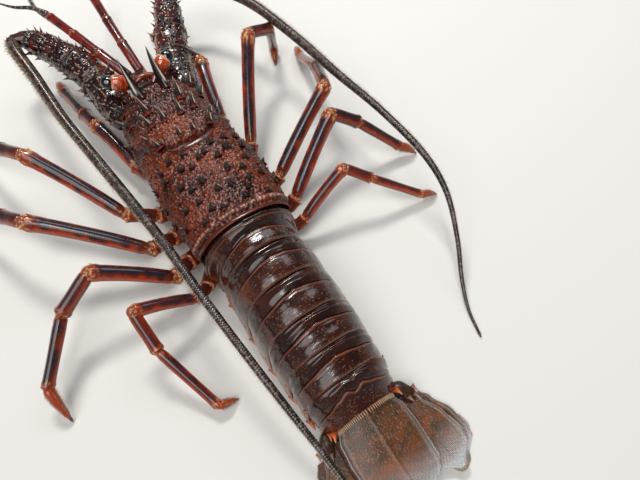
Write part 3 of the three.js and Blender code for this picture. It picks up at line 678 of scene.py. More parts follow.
# Each leg's hip y, then the ends of its joints from the hip to the tip of the claw
LEGS = {
    "left": [
        (26, (19, 21, 8.6), (22.5, 13, 9.6), (28.5, -17, 14), (30.5, -30, 11.5), (33.5, -58, 5),
         (34, -71, 0.5)),
        (46, (26.5, 46, 12), (38, 42.5, 19.2), (61.4, 2.8, 36), (69.3, -10.3, 32), (83, -37, 13),
         (88, -51, 0.5)),
        (57.5, (26, 60, 11.5), (36.5, 63, 17), (73.1, 33.4, 34), (80.9, 21.8, 30), (98, -2, 12),
         (105, -14, 0.5)),
        (69, (26, 74.4, 11.2), (34, 79.8, 15.6), (60.9, 66.7, 30), (77.3, 72.3, 22), (95.4, 92.3, 12),
         (95.1, 105, 0.5)),
        (79, (24.4, 88.4, 9.6), (30.5, 92.4, 13.6), (53.9, 89.1, 26), (53.3, 104.8, 17), (44.5, 133.1, 5),
         (36.8, 134.1, 0.5)),
    ],
    "right": [
        (26, (-21, 21, 8.8), (-25, 13, 11), (-33.6, -22.4, 18.6), (-32.2, -36, 14.6), (-27, -64, 5.5),
         (-25, -77, 0.5)),
        (46, (-25, 42, 10.4), (-29, 36, 13), (-56.2, -7.7, 36), (-70.6, -12, 29), (-78, -24, 4.4),
         (-73.6, -14.6, 0.5)),
        (57.5, (-25, 60.5, 10.2), (-30.5, 59.5, 13.4), (-68.8, 41.2, 34), (-78.4, 19.4, 24), (-86.5, -7.9, 5),
         (-90.4, -20.4, 0.5)),
        (69, (-24.8, 74.6, 10), (-30, 74, 13), (-62.8, 54.9, 32), (-74.4, 60.8, 24), (-92, 74, 7),
         (-100, 79, 0.5)),
        (79, (-23.6, 84.6, 9.2), (-28, 84.6, 11.6), (-52.5, 79.9, 26), (-62.1, 87.9, 20), (-84, 101.5, 5),
         (-92.5, 104, 0.5)),
    ],
}
BREAST_WIDTHS = [[2, 7.5], [26, 8.5], [46, 11.5], [58, 13.5], [70, 15.5], [84, 17]]
HIP_HEIGHT = 6.3
LEG_RADII = [3.5, 3.2, 3.3, 3.3, 2.7]
LEG_HAIRS = 420
CLAW_ARCH = 0.09
SEGMENT = [[0, 0.6], [0.03, 0.82], [0.09, 0.96], [0.25, 1.0], [0.6, 0.98], [0.84, 1.01], [0.95, 1.08],
           [0.985, 1.07], [1, 0.9]]
CLAW = [[0, 0.8], [0.1, 1.0], [0.4, 0.95], [0.75, 0.7], [0.93, 0.34], [1, 0.06]]


def segment(shape, start, end, first, second, bow=(0, 0, 0), profile=SEGMENT, rows=46, sides=26,
            stripes=1.0, claw=False, seed=0, brown=0.0):
    """One joint of a leg, from a narrow neck to a flared, toothed end."""
    t = np.linspace(0, 1, rows)
    path = np.outer(1 - t, start) + np.outer(t, end) + np.outer(4 * t * (1 - t), bow)
    radius = (first + (second - first) * t) * blend(profile, t)
    ridge = 1 + 0.05 * np.cos(2 * np.linspace(0, 2 * PI, sides, endpoint=False)) ** 2
    points, angle = sweep(path, np.outer(radius, ridge) * 0.97, np.outer(radius, ridge), sides)
    drift = 0.22 * waves(points, 7, 65)
    t = t[:, None]
    near, own = cells(angle * 2.2, t * 9, 0.55, 60 + seed)
    rough = step(t, 0.86, 0.96) + 0.5 * (1 - step(t, 0.03, 0.1))
    wart = dome(near, 0.45) * rough
    points = points + normals(points, True) * (0.26 * first / 3 * wart)[..., None]
    front, back = (bell(away(angle + drift, c), 0.38) for c in (0.3, PI - 0.3))
    top = bell(away(angle + 1.5 * drift, PI / 2), 0.6 + drift)
    under = bell(away(angle, -PI / 2), 0.8)
    middle = step(t, 0.06, 0.16) * (1 - step(t, 0.86, 0.95))
    warm = stripes * (front + 0.9 * back) * (0.35 + 0.65 * middle) + 0.35 * rough + brown
    flank = (np.sin(angle) < 0.1) * (0.25 + 0.25 * waves(points, 9, 66))
    dark = stripes * (0.95 * top + flank) * middle * (1 - brown) + 0.15 * (1 - stripes)
    pale = 0.8 * wart * (own > 0.45) + 0.14 * under * middle
    if claw:
        tip = step(t, 0.8, 0.97)
        warm, dark = 0.75 * (1 - tip), 0.9 * tip
    add_tube(shape, points, masks(pale, dark, warm))


def ball(shape, centre, radius, paint, rows=12, sides=16, axis=(0, 1, 0), squash=1.0):
    t = np.linspace(-1, 1, rows)
    size = radius * np.sqrt(np.clip(1 - t * t, 0.0004, 1))
    add_tube(shape, sweep(centre + np.outer(t * radius * squash, unit(axis)), size, size, sides)[0], paint)


def joint_dress(shape, centre, along, radius, seed):
    """Cream skin in the joint, the two hinge knobs and the small teeth over it."""
    along = unit(along)
    side = unit(np.cross(UP, along))
    top = np.cross(along, side)

    def round_joint(turn):
        return np.outer(np.sin(turn), side) + np.outer(np.cos(turn), top)

    ball(shape, centre, radius * 0.87, (0.08, 0.35, 0.6, 0), axis=along)
    for hand in (1, -1):
        ball(shape, centre + side * hand * radius * 0.8, radius * 0.3, (0.55, 0, 0.7, 0), 8, 10)
    random = np.random.default_rng(seed)
    beads, teeth = 22, 5
    turn, tilt = random.uniform(-1.7, 1.7, beads), random.uniform(-0.75, 0.75, beads)
    out = unit(unit(round_joint(turn)) + along * tilt[:, None])
    add_spikes(shape, centre + out * radius * 0.82, out, radius * random.uniform(0.16, 0.28, beads),
               radius * 0.13, JOINT_BEAD, rings=3, foot=0)
    turn = np.linspace(-1.1, 1.1, teeth) + random.normal(0, 0.08, teeth)
    spot = centre - along * radius * 0.35 + radius * 1.02 * round_joint(turn)
    add_spikes(shape, spot, along + 0.35 * unit(spot - centre), radius * random.uniform(0.3, 0.55, teeth),
               radius * 0.16, JOINT_TOOTH, rings=4)


def build_leg(side_name, hand, index, bristles):
    hip_y, *ends = LEGS[side_name][index]
    hip_end, root, knee, short_end, shin_end, tip = np.array(ends, float)
    thick = LEG_RADII[index]
    hip = np.array([(blend(BREAST_WIDTHS, hip_y + thick * 1.25) + 0.3) * hand, hip_y, HIP_HEIGHT])
    seed = index * 2 + (hand > 0)
    late = 0.18 if index == 4 else 0.0
    upper, lower = Shape(), Shape()
    segment(upper, hip, hip_end, thick * 1.22, thick * 1.16, stripes=0.35, rows=30, seed=seed, brown=0.2)
    joint_dress(upper, hip_end, hip_end - hip, thick * 1.05, seed)
    segment(upper, hip_end, root, thick * 1.02, thick * 1.05, stripes=0.5, rows=26, seed=seed + 1, brown=0.2)
    joint_dress(upper, root, root - hip_end, thick * 0.92, seed + 1)
    thigh, turn, claw = unit(knee - root), unit(short_end - knee), unit(tip - shin_end)
    bow = np.cross(thigh, UP) * 0.5 * hand + 0.6 * UP
    segment(upper, root, knee - thigh * 0.5, thick * 0.93, thick, bow=bow, rows=80, sides=32,
            seed=seed + 2, brown=late)
    joint_dress(lower, knee, thigh, thick * 0.98, seed + 2)
    segment(lower, knee + turn * 0.2, short_end, thick * 0.92, thick * 0.95, rows=40, seed=seed + 3,
            stripes=0.7, brown=late)
    joint_dress(lower, short_end, turn, thick * 0.82, seed + 3)
    segment(lower, short_end, shin_end, thick * 0.82, thick * 0.72, rows=60, seed=seed + 4, brown=late)
    joint_dress(lower, shin_end, shin_end - short_end, thick * 0.58, seed + 4)
    arch = CLAW_ARCH * np.linalg.norm(tip - shin_end) * UP
    segment(lower, shin_end, tip, thick * 0.68, thick * 0.5, bow=arch, profile=CLAW, rows=44, sides=20,
            claw=True)
    random = np.random.default_rng(400 + seed)
    t, turn = random.uniform(0.04, 0.8, LEG_HAIRS), random.uniform(0, 2 * PI, LEG_HAIRS)
    # Two hairs in three stand in six rows, the others between them
    turn = np.where(np.arange(LEG_HAIRS) % 3 == 0, turn, np.round(turn / (PI / 3)) * PI / 3)
    side = unit(np.cross(UP, claw))
    out = side * np.cos(turn)[:, None] + np.cross(claw, side) * np.sin(turn)[:, None]
    line = shin_end + np.outer(t, tip - shin_end) + np.outer(4 * t * (1 - t), arch)
    radius = (thick * (0.68 - 0.18 * t) * blend(CLAW, t))[:, None]
    spot = np.stack([0.05 + 0.18 * index + 0.15 * t, 0.25 + 0.25 * hand + 0.2 * turn / (2 * PI)], axis=1)
    add_hairs(bristles, line + out * radius * 0.9, out + 1.1 * claw, 0.55 * thick * (1.1 - t), 0.07, spot,
              (0, 0, -0.15), 410 + seed, paint=(0.35, 0, 0.5, 0))
    if index == 4:
        add_spikes(lower, shin_end + claw * 1.5 - 1.6 * UP, claw - 0.3 * UP, 3.4, 1.1,
                   ((0, (0, 0, 0.9, 0)), (1, (0.5, 0, 0.5, 0))), sides=10, rings=6)
    name = f"leg_{index + 1}_{side_name}"
    cover(upper, f"{name}_upper", LEG)
    cover(lower, f"{name}_lower", LEG)


# Antennae

PEDUNCLES = {
    "left": [(15.2, -0.3, 24.3), (16.2, -14, 25), (17.2, -30, 25.5), (20, -44, 26.5), (26, -58, 27.5),
             (34.6, -74, 28.5)],
    "right": [(-15.2, -0.3, 24.3), (-17.5, -12, 25), (-20.8, -23, 25.5), (-24.5, -34, 26.5), (-29.5, -45, 28),
              (-36, -62, 29.5)],
}
BASE_LENGTH = {"left": 30.5, "right": 27}
PEDUNCLE_RADIUS = [[0, 7.7], [0.2, 8.6], [0.55, 8.5], [0.85, 7.4], [1, 5.4]]
PEDUNCLE_JOINT = [[0, 0.72], [0.06, 0.9], [0.16, 0.97], [0.8, 1.0], [0.93, 1.06], [0.985, 1.04], [1, 0.9]]
# Rows of spines, largest on the upper and outer edges: turn, length
PEDUNCLE_ROWS = [(0.25, 3.6), (0.75, 3.0), (1.25, 4.2), (1.75, 3.2), (2.3, 3.8), (2.9, 3.0), (-0.3, 3.2),
                 (3.5, 2.6), (-0.9, 2.2), (4.1, 2.0)]
SPINE_SPACING = 6.2
THORNS = 24
WHIPS = {
    "left": [(42.6, -76.5, 29.6), (43.2, -66, 32.2), (41.5, -42, 33.5), (40, -10, 35), (37.5, 14, 36),
             (33.8, 45, 36), (31, 70, 35), (28.6, 104, 32), (26.3, 129, 28), (23.5, 154, 21),
             (21.2, 172, 14.6), (19.6, 190, 11.2), (18, 208, 8.4), (16.5, 226, 3.2), (15, 246, 0.9)],
    "right": [(-43.5, -66.2, 30), (-52, -62.8, 31.5), (-62, -48, 33), (-68.8, -30, 34.5), (-73.8, 5, 36),
              (-77, 40, 36), (-81, 70.5, 35), (-83.5, 98, 31), (-82, 114.8, 26), (-76.4, 131.8, 16),
              (-69.2, 147, 5.6), (-64.5, 158, 1.6), (-61, 170, 0.8)],
}
WHIP_RADIUS = 2.9
WHIP_PROFILE = [[0, 1], [0.3, 0.78], [0.62, 0.56], [0.85, 0.36], [1, 0.2]]
WHIP_CUTS = [0, 0.3, 0.63, 1]
WHIP_RING = 1.05
# Rows of bristles round the whip: turn from its outer side, size. The two largest rows are pale
WHIP_BRISTLES = [(0.0, 1.1), (0.55, 1.0), (-0.6, 0.6), (1.2, 0.5), (-1.3, 0.4), (PI, 0.3), (2.3, 0.35)]


def build_peduncle(side_name, hand):
    points = PEDUNCLES[side_name]
    total = travel(curve(points, 400))[-1]
    split = BASE_LENGTH[side_name] / total
    middle = split + 0.36 * (1 - split)
    random = np.random.default_rng(70 + (hand > 0))
    base, outer = Shape(), Shape()
    rows, sides = 130, 128
    for shape, low, high in ((base, 0.0, split), (outer, split, middle + 0.02), (outer, middle, 1.0)):
        path = curve(points, rows, low, high)
        t = np.linspace(0, 1, rows)
        place = low + (high - low) * t
        radius = blend(PEDUNCLE_RADIUS, place) * blend(PEDUNCLE_JOINT, t) * 0.97
        p, angle = sweep(path, radius, radius * 0.93, sides)
        n = normals(p, True)
        t = t[:, None]
        near, own = cells(angle * 7.64, place[:, None] * total, 2.0, 80)
        grains = dome(near, 0.34) ** 0.7
        relief = 0.4 * grains * own - 0.5 * bell(t - 0.9, 0.02) + 0.2 * waves(p, 8, 81)
        p = p + n * relief[..., None]
        inner = bell(away(angle, PI if hand > 0 else 0.0), 0.75)
        warm = 0.95 * inner * step(waves(p, 9, 83), -1.3, -0.2) + 0.3 * (waves(p, 6, 84) > 0.6)
        pale = 0.7 * grains ** 2 * (own > 0.82) + 0.12 * bell(t - 0.97, 0.03)
        add_tube(shape, p, masks(pale, 0.5 * (1 - grains) * (1 - inner), warm))
        count = max(2, int((high - low) * total / SPINE_SPACING))
        for turn, size in PEDUNCLE_ROWS:
            for k in range(count):
                u = (k + 0.55 + random.normal(0, 0.12)) / count
                row = int(np.clip(u, 0.06, 0.97) * (rows - 1))
                column = int((turn + random.normal(0, 0.07)) / (2 * PI) * sides) % sides
                ahead = unit(path[min(row + 2, rows - 1)] - path[row - 2])
                length = size * random.uniform(0.6, 1.15) * (1.25 if k == count - 1 else 0.85)
                knots = PALE_SPINE if random.random() < 0.35 else SPINE_PAINT
                out = n[row, column]
                add_spikes(shape, p[row, column] - 0.4 * out, 0.75 * out + 0.8 * ahead, length,
                           0.55 + 0.16 * length, knots, sides=10, rings=6, hook=0.12 * out)
        row, column = random.integers(4, rows - 4, THORNS), random.integers(0, sides, THORNS)
        out = n[row, column]
        add_spikes(shape, p[row, column] - 0.2 * out, 0.6 * out + unit(path[row + 2] - path[row - 2]),
                   random.uniform(0.7, 1.5, THORNS), 0.38, PALE_SPINE, sides=6, rings=3)
    # The socket that carries the whip
    nearly, end = curve(points, 60)[[-4, -1]]
    ahead, whip = unit(end - nearly), np.array(WHIPS[side_name][0], float)
    rows = 24
    path = curve([end - ahead * 3, end + ahead * 1.5, (end + whip) / 2 + ahead, whip], rows)
    wide, tall = (np.linspace(first, WHIP_RADIUS * 1.12, rows) for first in (5.0, 4.8))
    wide = wide * (1 + 0.05 * np.sin(np.linspace(0, 14, rows)))
    add_tube(outer, sweep(path, wide, tall, 32)[0], (0.0, 0.6, 0.3, 0))
    cover(base, f"antenna_base_{side_name}", SPINY)
    cover(outer, f"antenna_outer_{side_name}", SPINY)


def build_whip(side_name, hand, bristles):
    """The long feeler: narrow rings with whorls of stiff bristles, densest on the outer side."""
    total = travel(curve(WHIPS[side_name], 800))[-1]
    random = np.random.default_rng(90 + (hand > 0))
    outward = PI if hand > 0 else 0.0
    for k in range(3):
        low, high = WHIP_CUTS[k], WHIP_CUTS[k + 1]
        rows, sides = int((high - low) * total / WHIP_RING) * 4 + 1, 16 if k < 2 else 12
        path = curve(WHIPS[side_name], rows, low, high)
        t = np.linspace(low, high, rows)
        radius = WHIP_RADIUS * blend(WHIP_PROFILE, t)
        phase = (np.arange(rows) % 4) / 4
        ringed = 1 + np.interp(phase, [0, 0.25, 0.5, 0.75], [-0.05, 0.0, 0.035, 0.045])
        if k == 2:
            radius[-6:] *= np.linspace(1, 0.35, 6)
        p, angle = sweep(path, radius * ringed, radius * ringed, sides)
        n = normals(p, True)
        shape = Shape()
        near, own = cells(angle * 3, np.arange(rows)[:, None] / 4.0, 1.0, 91)
        tall, phase = t[:, None], phase[:, None]
        pale = 0.35 * (near < 0.34) * (own > 0.45) + 0.15 * (phase == 0.5) * step(tall, 0.6, 0.95)
        warm = 0.3 * np.clip(waves(p, 12, 92), 0, 1) + 0.25 * step(tall, 0.55, 0.0)
        add_tube(shape, p, masks(pale, 0.3 * (phase < 0.3), warm))
        if k == 0:
            row = np.arange(10, rows - 4, 6)
            ahead = unit(path[row + 2] - path[row - 2])
            for turn in (-0.45, 0.15, 0.75):
                column = int((outward - turn * hand) % (2 * PI) / (2 * PI) * sides)
                out = n[row, column]
                size = random.uniform(0.8, 1.5, len(row)) * np.linspace(1.25, 0.6, len(row))
                add_spikes(shape, p[row, column] - 0.15 * out, out + 0.6 * ahead, size, 0.4,
                           ((0, (0.5, 0, 0.5, 0)), (1, (1, 0, 0.1, 0))), rings=4)
        row = np.arange(2, rows, 4)
        ahead = unit(path[np.minimum(row + 2, rows - 1)] - path[row - 2])
        for turn, size in WHIP_BRISTLES:
            a = (outward + turn - 0.35 * hand + random.normal(0, 0.1, len(row))) % (2 * PI)
            column = (a / (2 * PI) * sides).astype(int) % sides
            out = n[row, column]
            aim = out + 0.75 * ahead + random.normal(0, 0.12, (len(row), 3))
            length = (0.25 + 0.62 * radius[row]) * size * random.uniform(0.8, 1.25, len(row))
            spot = np.stack([t[row], column / sides * 0.9 + 0.05], axis=1)
            add_hairs(bristles, p[row, column] - 0.05 * out, aim, length, 0.06 + 0.045 * radius[row], spot,
                      (0, 0, 0), 95 + k, paint=(0.85, 0, 0.1, 0) if size > 0.8 else (0.1, 0.6, 0.1, 0))
        name = f"antenna_whip_{k + 1}_{side_name}"
        cover(shape, name, WHIP)


ANTENNULES = {
    "left": dict(stalk=[(2.9, -24.5, 26), (7, -34, 30), (13, -52, 33), (20.5, -77, 34.5)],
                 inner=[(20.6, -78.4, 35.4), (26, -86, 36), (33, -93, 35), (39, -104, 33)],
                 outer=[(21.3, -78, 33.2), (24, -90, 31.5), (24, -106, 29), (21, -123.7, 26.5)]),
    "right": dict(stalk=[(-2.9, -24.5, 26), (-2.6, -36, 30.5), (-2.6, -54, 34), (-3.4, -76, 36)],
                  inner=[(-2.7, -77.6, 36.6), (0, -90, 38.5), (5.5, -104, 37), (9, -120, 33)],
                  outer=[(-4.2, -77.6, 35.4), (-8, -92, 35.5), (-14, -108, 33), (-21, -122, 29)]),
}
STALK_RADIUS = [[0, 2.7], [0.5, 2.45], [1, 2.3]]
STALK_JOINT = [[0, 0.7], [0.06, 0.92], [0.2, 0.92], [0.85, 1.0], [0.95, 1.08], [1, 0.95]]


def build_antennule(side_name, bristles):
    ways = ANTENNULES[side_name]
    stalk = Shape()
    rows = 60
    for low, high in ((0, 0.36), (0.35, 0.68), (0.67, 1.0)):
        t = np.linspace(0, 1, rows)
        radius = blend(STALK_RADIUS, low + (high - low) * t) * blend(STALK_JOINT, t)
        p, angle = sweep(curve(ways["stalk"], rows, low, high), radius, radius * 0.9, 24)
        rim = bell(t - 0.95, 0.04)[:, None]
        top = bell(away(angle, PI / 2), 0.5) * (1 - rim)
        add_tube(stalk, p, masks(0.12 * rim, 0.4 * top, 0.4 * rim + 0.3 * (waves(p, 6, 7) > 0)))
    cover(stalk, f"antennule_stalk_{side_name}", STALK)
    rows = 181
    count = np.arange(rows)
    for which in ("inner", "outer"):
        shape = Shape()
        radius = (1.25 - 0.85 * np.linspace(0, 1, rows)) * (1 + 0.07 * (count % 4 > 1))
        p, _ = sweep(curve(ways[which], rows), radius, radius, 10)
        pale = 0.4 * ((count // 4) % 5 == 0)[:, None]
        add_tube(shape, p, masks(pale, 0.5 * (1 - pale), 0.2))
        name = f"antennule_{which}_{side_name}"
        cover(shape, name, WHIP)
    # The hairs on the outer one's underside, longest in the middle
    row, column = np.repeat(count[60:-2], 5), np.tile([6, 7, 7, 8, 9], rows - 62)
    spot = np.stack([row / rows, column / 10], axis=1)
    length = 1.7 * np.sin(np.linspace(0.5, 2.9, len(row)))
    add_hairs(bristles, p[row, column], normals(p, True)[row, column] + 0.5 * FORWARD, length, 0.05, spot,
              (0, -0.2, 0), 99, paint=(0.3, 0.2, 0.1, 0))


# Head

BROW_PATH = [(-6.4, -8.0, 35.2), (-3.2, -8.6, 36.8), (0, -8.9, 37.4), (3.2, -8.6, 36.8), (6.4, -8.0, 35.2)]
HORN_PATH = [(5.9, 5.5, 36.6), (6.2, 0.5, 38.2), (6.4, -4, 40.9), (6.7, -8.5, 44.8), (7.1, -12.6, 49.4)]
EYE_PATH = [(3.4, -5.6, 34.2), (7, -8, 36.3), (10.6, -10, 38.2), (13.8, -11.2, 39.6)]
EYE_RADIUS = [[0, 1.8], [0.34, 2.0], [0.5, 3.0], [0.68, 3.75], [0.8, 3.85], [0.93, 3.4], [1, 2.7]]
MAXILLIPED = [(4.4, 28.5, 3.8), (4.8, 14, 3.9), (4.6, 2, 6.5), (4.2, -8, 9), (3.8, -16, 8.5)]
# Spines of the plate between the antennae: place, length
PLATE_SPINES = [(3.3, -14.5, 30.2, 6.5), (2.2, -8.5, 31, 3.4), (5.2, -19, 27, 2.2)]
# Small mouth parts: place, radius, length
MOUTH_PARTS = [(3.4, 1.5, 12.4, 3.0, 6.5), (6.2, 6, 10.4, 2.0, 10.5), (6.8, 9, 8.4, 1.7, 12)]


def mirrored(points, hand):
    return np.array(points, float) * [hand, 1, 1]


def squared(angle, power):
    """Scale that turns a circle into a rounded square."""
    return (np.abs(np.cos(angle)) ** power + np.abs(np.sin(angle)) ** power) ** (-1 / power)


def build_head():
    # The plate between the antennae
    shape = Shape()
    rows, columns = 60, 72
    t = np.linspace(0, 1, rows)
    height = blend([[0, 24.6], [0.35, 23.6], [0.5, 23], [1, 24.5]], t)
    path = np.stack([0 * t, 3.0 - 27.0 * t, height], axis=1)
    half = blend([[0, 6.6], [0.5, 6.4], [0.8, 6.0], [1, 4.8]], t)
    tall = blend([[0, 12.4], [0.12, 11.6], [0.35, 8.8], [0.75, 6.4], [1, 3.6]], t)
    square = squared(np.linspace(0, 2 * PI, columns, endpoint=False), 4)
    p, _ = sweep(path, np.outer(half, square), np.outer(tall, square), columns)
    n = normals(p, True)
    near, own = cells(p[..., 0] + 20, p[..., 1] + 40, 1.5, 21)
    grains = dome(near, 0.45)
    p = p + n * (0.3 * grains * own + 0.25 * waves(p, 6, 22))[..., None]
    rear = bell(t - 0.2, 0.09)[:, None] * step(p[..., 2], 27, 30)
    pale = 0.25 * grains * (own > 0.75) + 0.5 * rear * (waves(p, 3, 24) > 0.3)
    warm = 1.3 * rear + 0.2 * (waves(p, 5, 23) > 0.3)
    add_tube(shape, p, masks(pale, 0.75 * (1 - grains) * (1 - rear), warm))
    for x, y, z, length in PLATE_SPINES:
        for hand in (1, -1):
            add_spikes(shape, [x * hand, y, z], [0.15 * hand, -0.8, 0.65], length, 0.9 + 0.08 * length,
                       PALE_SPINE, sides=12, rings=7)
    cover(shape, "head_front", SPINY)
    bridge = Shape()
    p, angle = sweep(curve(BROW_PATH, 60), 1.7, 1.2, 28)
    # Painted highlight: cream patches along the top of the arch between the eyes
    crest_highlight = bell(away(angle, PI / 2), 0.5) * (waves(p, 3, 27) > 0)
    add_tube(bridge, p, masks(0.3 * crest_highlight, 0.3, 0.8))
    piece(bridge, "eye_bridge", SPINY)
    for side_name, hand in SIDES:
        build_horn(side_name, hand)
        build_eye(side_name, hand)


def build_horn(side_name, hand):
    horn = Shape()
    t = np.linspace(0, 1, 70)
    width = 3.6 * (1 - t) ** 0.85 + 0.05
    p, angle = sweep(curve(mirrored(HORN_PATH, hand), 70), width * 0.78, width * 1.1, 32)
    t = t[:, None]
    # The pale line along one side of the horn is partly a pale ridge and partly a painted highlight
    ridge_and_highlight = bell(away(angle, PI / 2 - 0.5 * hand), 0.2)
    warm = 0.3 * step(t, 0.2, 0.02)
    add_tube(horn, p, masks(0.85 * ridge_and_highlight * step(t, 0.1, 0.25) + 0.5 * step(t, 0.93, 1), 0.8 - warm, warm))
    cover(horn, f"horn_{side_name}", HORNS)


def build_eye(side_name, hand):
    eye = Shape()
    t = np.linspace(0, 1, 60)
    radius = blend(EYE_RADIUS, t)
    p, _ = sweep(curve(mirrored(EYE_PATH, hand), 60), radius, radius, 40)
    t = t[:, None]
    rim = bell(t - 0.95, 0.035) * step(waves(p, 3, 25), -0.7, 0.1)
    near, own = cells(p[..., 0], p[..., 1] + p[..., 2], 1.1, 26)
    pale = 0.8 * rim + 0.3 * (near < 0.25) * (own > 0.5)
    add_tube(eye, p, masks(pale, 0.85 * step(t, 0.5, 0.36), 0.5 * (1 - rim)))
    # The cornea wraps over the end of the stalk
    t = np.linspace(-1, 1, 44)
    bend = np.outer(1 - t * t, [-0.5 * hand, -0.3, 0])
    path = np.array([15.0 * hand, -11.8, 38.9]) + np.outer(t * 3.4, unit([0.93 * hand, -0.22, 0.3])) + bend
    radius = np.sqrt(np.clip(1 - t * t, 0.0003, 1))
    add_tube(eye, sweep(path, 3.5 * radius, 3.3 * radius, 48)[0], (0, 1, 0, 0))
    cover(eye, f"eye_{side_name}", EYES)


def build_mouth(bristles):
    samples = 200
    for side_name, hand in SIDES:
        shape = Shape()
        path = curve(mirrored(MAXILLIPED, hand), samples)
        cuts = (0, 0.36, 0.62, 0.76, 0.9, 1.0)
        for k in range(5):
            a, b = (path[int(cut * (samples - 1))] for cut in cuts[k:k + 2])
            wide = 3.4 * (1 - 0.5 * cuts[k] ** 2)
            segment(shape, a, b, wide, wide * 0.88, rows=34, seed=30 + k, stripes=0.6, brown=0.25,
                    profile=CLAW if k == 4 else SEGMENT)
        row = np.repeat(np.arange(20, 190), 5)
        spot = np.stack([row / samples, np.full(len(row), 0.3 + 0.1 * hand)], axis=1)
        add_hairs(bristles, path[row] + [-2.2 * hand, 0, 0.6], [-0.9 * hand, -0.35, 0.1], 2.4, 0.07, spot,
                  (0, -0.2, 0), 33)
        cover(shape, f"maxilliped_{side_name}", LEG)
    # Upper lip, mandibles and the small mouth parts behind them
    shape = Shape()
    ball(shape, (0, -4, 14.5), 3.2, (0.3, 0, 0.5, 0), 20, 24, squash=1.2)
    t = np.linspace(0, 1, 36)
    wide = blend([[0, 0.7], [0.4, 1], [0.85, 0.8], [1, 0.3]], t)
    tall = 0.6 * blend([[0, 0.7], [0.4, 1], [1, 0.35]], t)
    for hand in (1, -1):
        for k, (x, y, z, r, length) in enumerate(MOUTH_PARTS):
            points = [(x + 1.5, y + length / 2, z), (x, y, z - 0.8), (0.5 * x, y - length / 2, z - 0.2)]
            p, _ = sweep(curve(mirrored(points, hand), 36), r * wide, r * tall, 20)
            add_tube(shape, p, (0.35 if k else 0.6, 0.0, 0.6, 0))
    piece(shape, "mouth_parts", BELLY)


# Underside

BREAST_BOTTOMS = [[2, 10], [29, 8.4], [36, 0], [84, 0]]
BREAST_TOP = 17.0
SEAMS = (35.0, 51.5, 63.5, 74.5)
HIP_SPACING = 11.6


def build_underside():
    shape = Shape()
    rows, columns = 260, 96
    y = np.linspace(1.5, 85.0, rows)[:, None]
    seam = sum(bell(y - s, 0.8) for s in SEAMS)
    low = blend(BREAST_BOTTOMS, y)
    angle = np.linspace(0, 2 * PI, columns, endpoint=False)
    square = squared(angle, 5)
    x = blend(BREAST_WIDTHS, y) * np.cos(angle) * square * (1 - 0.06 * seam)
    z = (low + BREAST_TOP) / 2 + (BREAST_TOP - low) / 2 * np.sin(angle) * square
    p = np.stack(np.broadcast_arrays(x, y, z), axis=-1)
    n = normals(p, True)
    out = np.abs(x)
    below = step(np.sin(angle), -0.5, -0.95)
    gutter = bell(x, 1.4) * below
    near, own = cells(x + 30, y, 1.5, 36)
    relief = -0.7 * seam * below * step(out, 1.5, 4) - 0.6 * gutter * (y > 36) + 0.14 * dome(near, 0.4) * own
    p = p + n * relief[..., None]
    warm = 0.45 * seam + 0.5 * np.clip(waves(p, 9, 37), 0, 1) + 0.5 * step(out, 8, 15)
    pale = 0.4 * below + 0.3 * (own > 0.7) * (near < 0.3) - 0.3 * seam
    add_tube(shape, p, masks(pale, 0.25 * gutter, warm))
    # Soft walls from the breastplate up under the shell's edge, ribbed between the legs
    rows, columns = 220, 14
    y = np.linspace(8, 84, rows)
    t = np.linspace(0, 1, columns)
    ribs = 0.5 * np.cos((y - 26) / HIP_SPACING * 2 * PI)
    for hand in (1, -1):
        inner = np.stack([(blend(BREAST_WIDTHS, y) - 1.0) * hand, y, 10.0 + 0 * y], axis=1)
        edge = carapace_at(0.05 if hand > 0 else PI - 0.05, y) + [-1.6 * hand, 0, 1.0]
        p = inner[:, None] * (1 - t)[:, None] + edge[:, None] * t[:, None]
        p[..., 2] += (ribs[:, None] - 1.2) * np.sin(PI * t)
        p = np.concatenate([p, (p + 2.2 * UP)[:, ::-1]], axis=1)
        add_tube(shape, p, masks(0.3, 0.1, 0.35 + 0.3 * np.clip(waves(p, 7, 39), 0, 1)))
    cover(shape, "underside", BELLY)


# Swimmeret plates: place inward, half width, length, height over the floor
SWIMMERETS = [(9.8, 4.6, 13.0, 1.3), (6.6, 3.2, 11.0, 0.55)]
BELLY_TOP = 9.0


def build_tail_belly(bristles):
    """The soft floor of the tail, its cross bars, and the swimmerets folded under it."""
    shape = Shape()
    rows, columns = 240, 60
    y = np.linspace(84.5, 163.0, rows)[:, None]
    angle = np.linspace(0, 2 * PI, columns, endpoint=False)
    bars = sum(bell(y - (ring[2] - 3.0), 1.5) for ring in RINGS)
    low = 3.4 - 2.6 * bars
    x = (TAIL_HALF * blend(TAIL_WIDTHS, y) * 0.86 - 1.2) * np.cos(angle)
    sine = np.sin(angle)
    z = np.where(sine < 0, low + (BELLY_TOP - low) * (1 - np.abs(sine) ** 0.5), BELLY_TOP + 5.0 * sine)
    p = np.stack(np.broadcast_arrays(x, y, z), axis=-1)
    add_tube(shape, p, masks(0.25 + 0.3 * bars, 0.0, 0.2 + 0.5 * bars + 0.2 * waves(p, 7, 44)))
    u = np.linspace(0, 1, 30)
    oval = np.sin(PI * np.clip(u * 0.93 + 0.07, 0, 1)) ** 0.6
    row, column = np.repeat(np.arange(12, 29), 6), np.tile([0, 0, 0, 12, 12, 12], 17)
    for k in range(1, 5):
        y0 = RINGS[k][2] - 3.0
        for hand in (1, -1):
            for inward, width, length, lift in SWIMMERETS:
                path = [(inward + 0.8 * u) * hand, y0 - 1 + length * u, lift + 1.6 * (1 - u) ** 2]
                path = np.stack(path, axis=1)
                q, _ = sweep(path, width * oval, 0.28 + 0.3 * (1 - u), 24)
                add_tube(shape, q, (0.15, 0.25, 0.75, 0))
                spot = np.stack([0.1 + 0.2 * k + row / 300, 0.5 + 0.2 * hand + column / 200], axis=1)
                out = unit(q[row, column] - path[row])
                add_hairs(bristles, q[row, column], out - 0.9 * FORWARD, 1.7, 0.06, spot, (0, 0.2, 0), 45 + k)
    piece(shape, "tail_belly", BELLY)


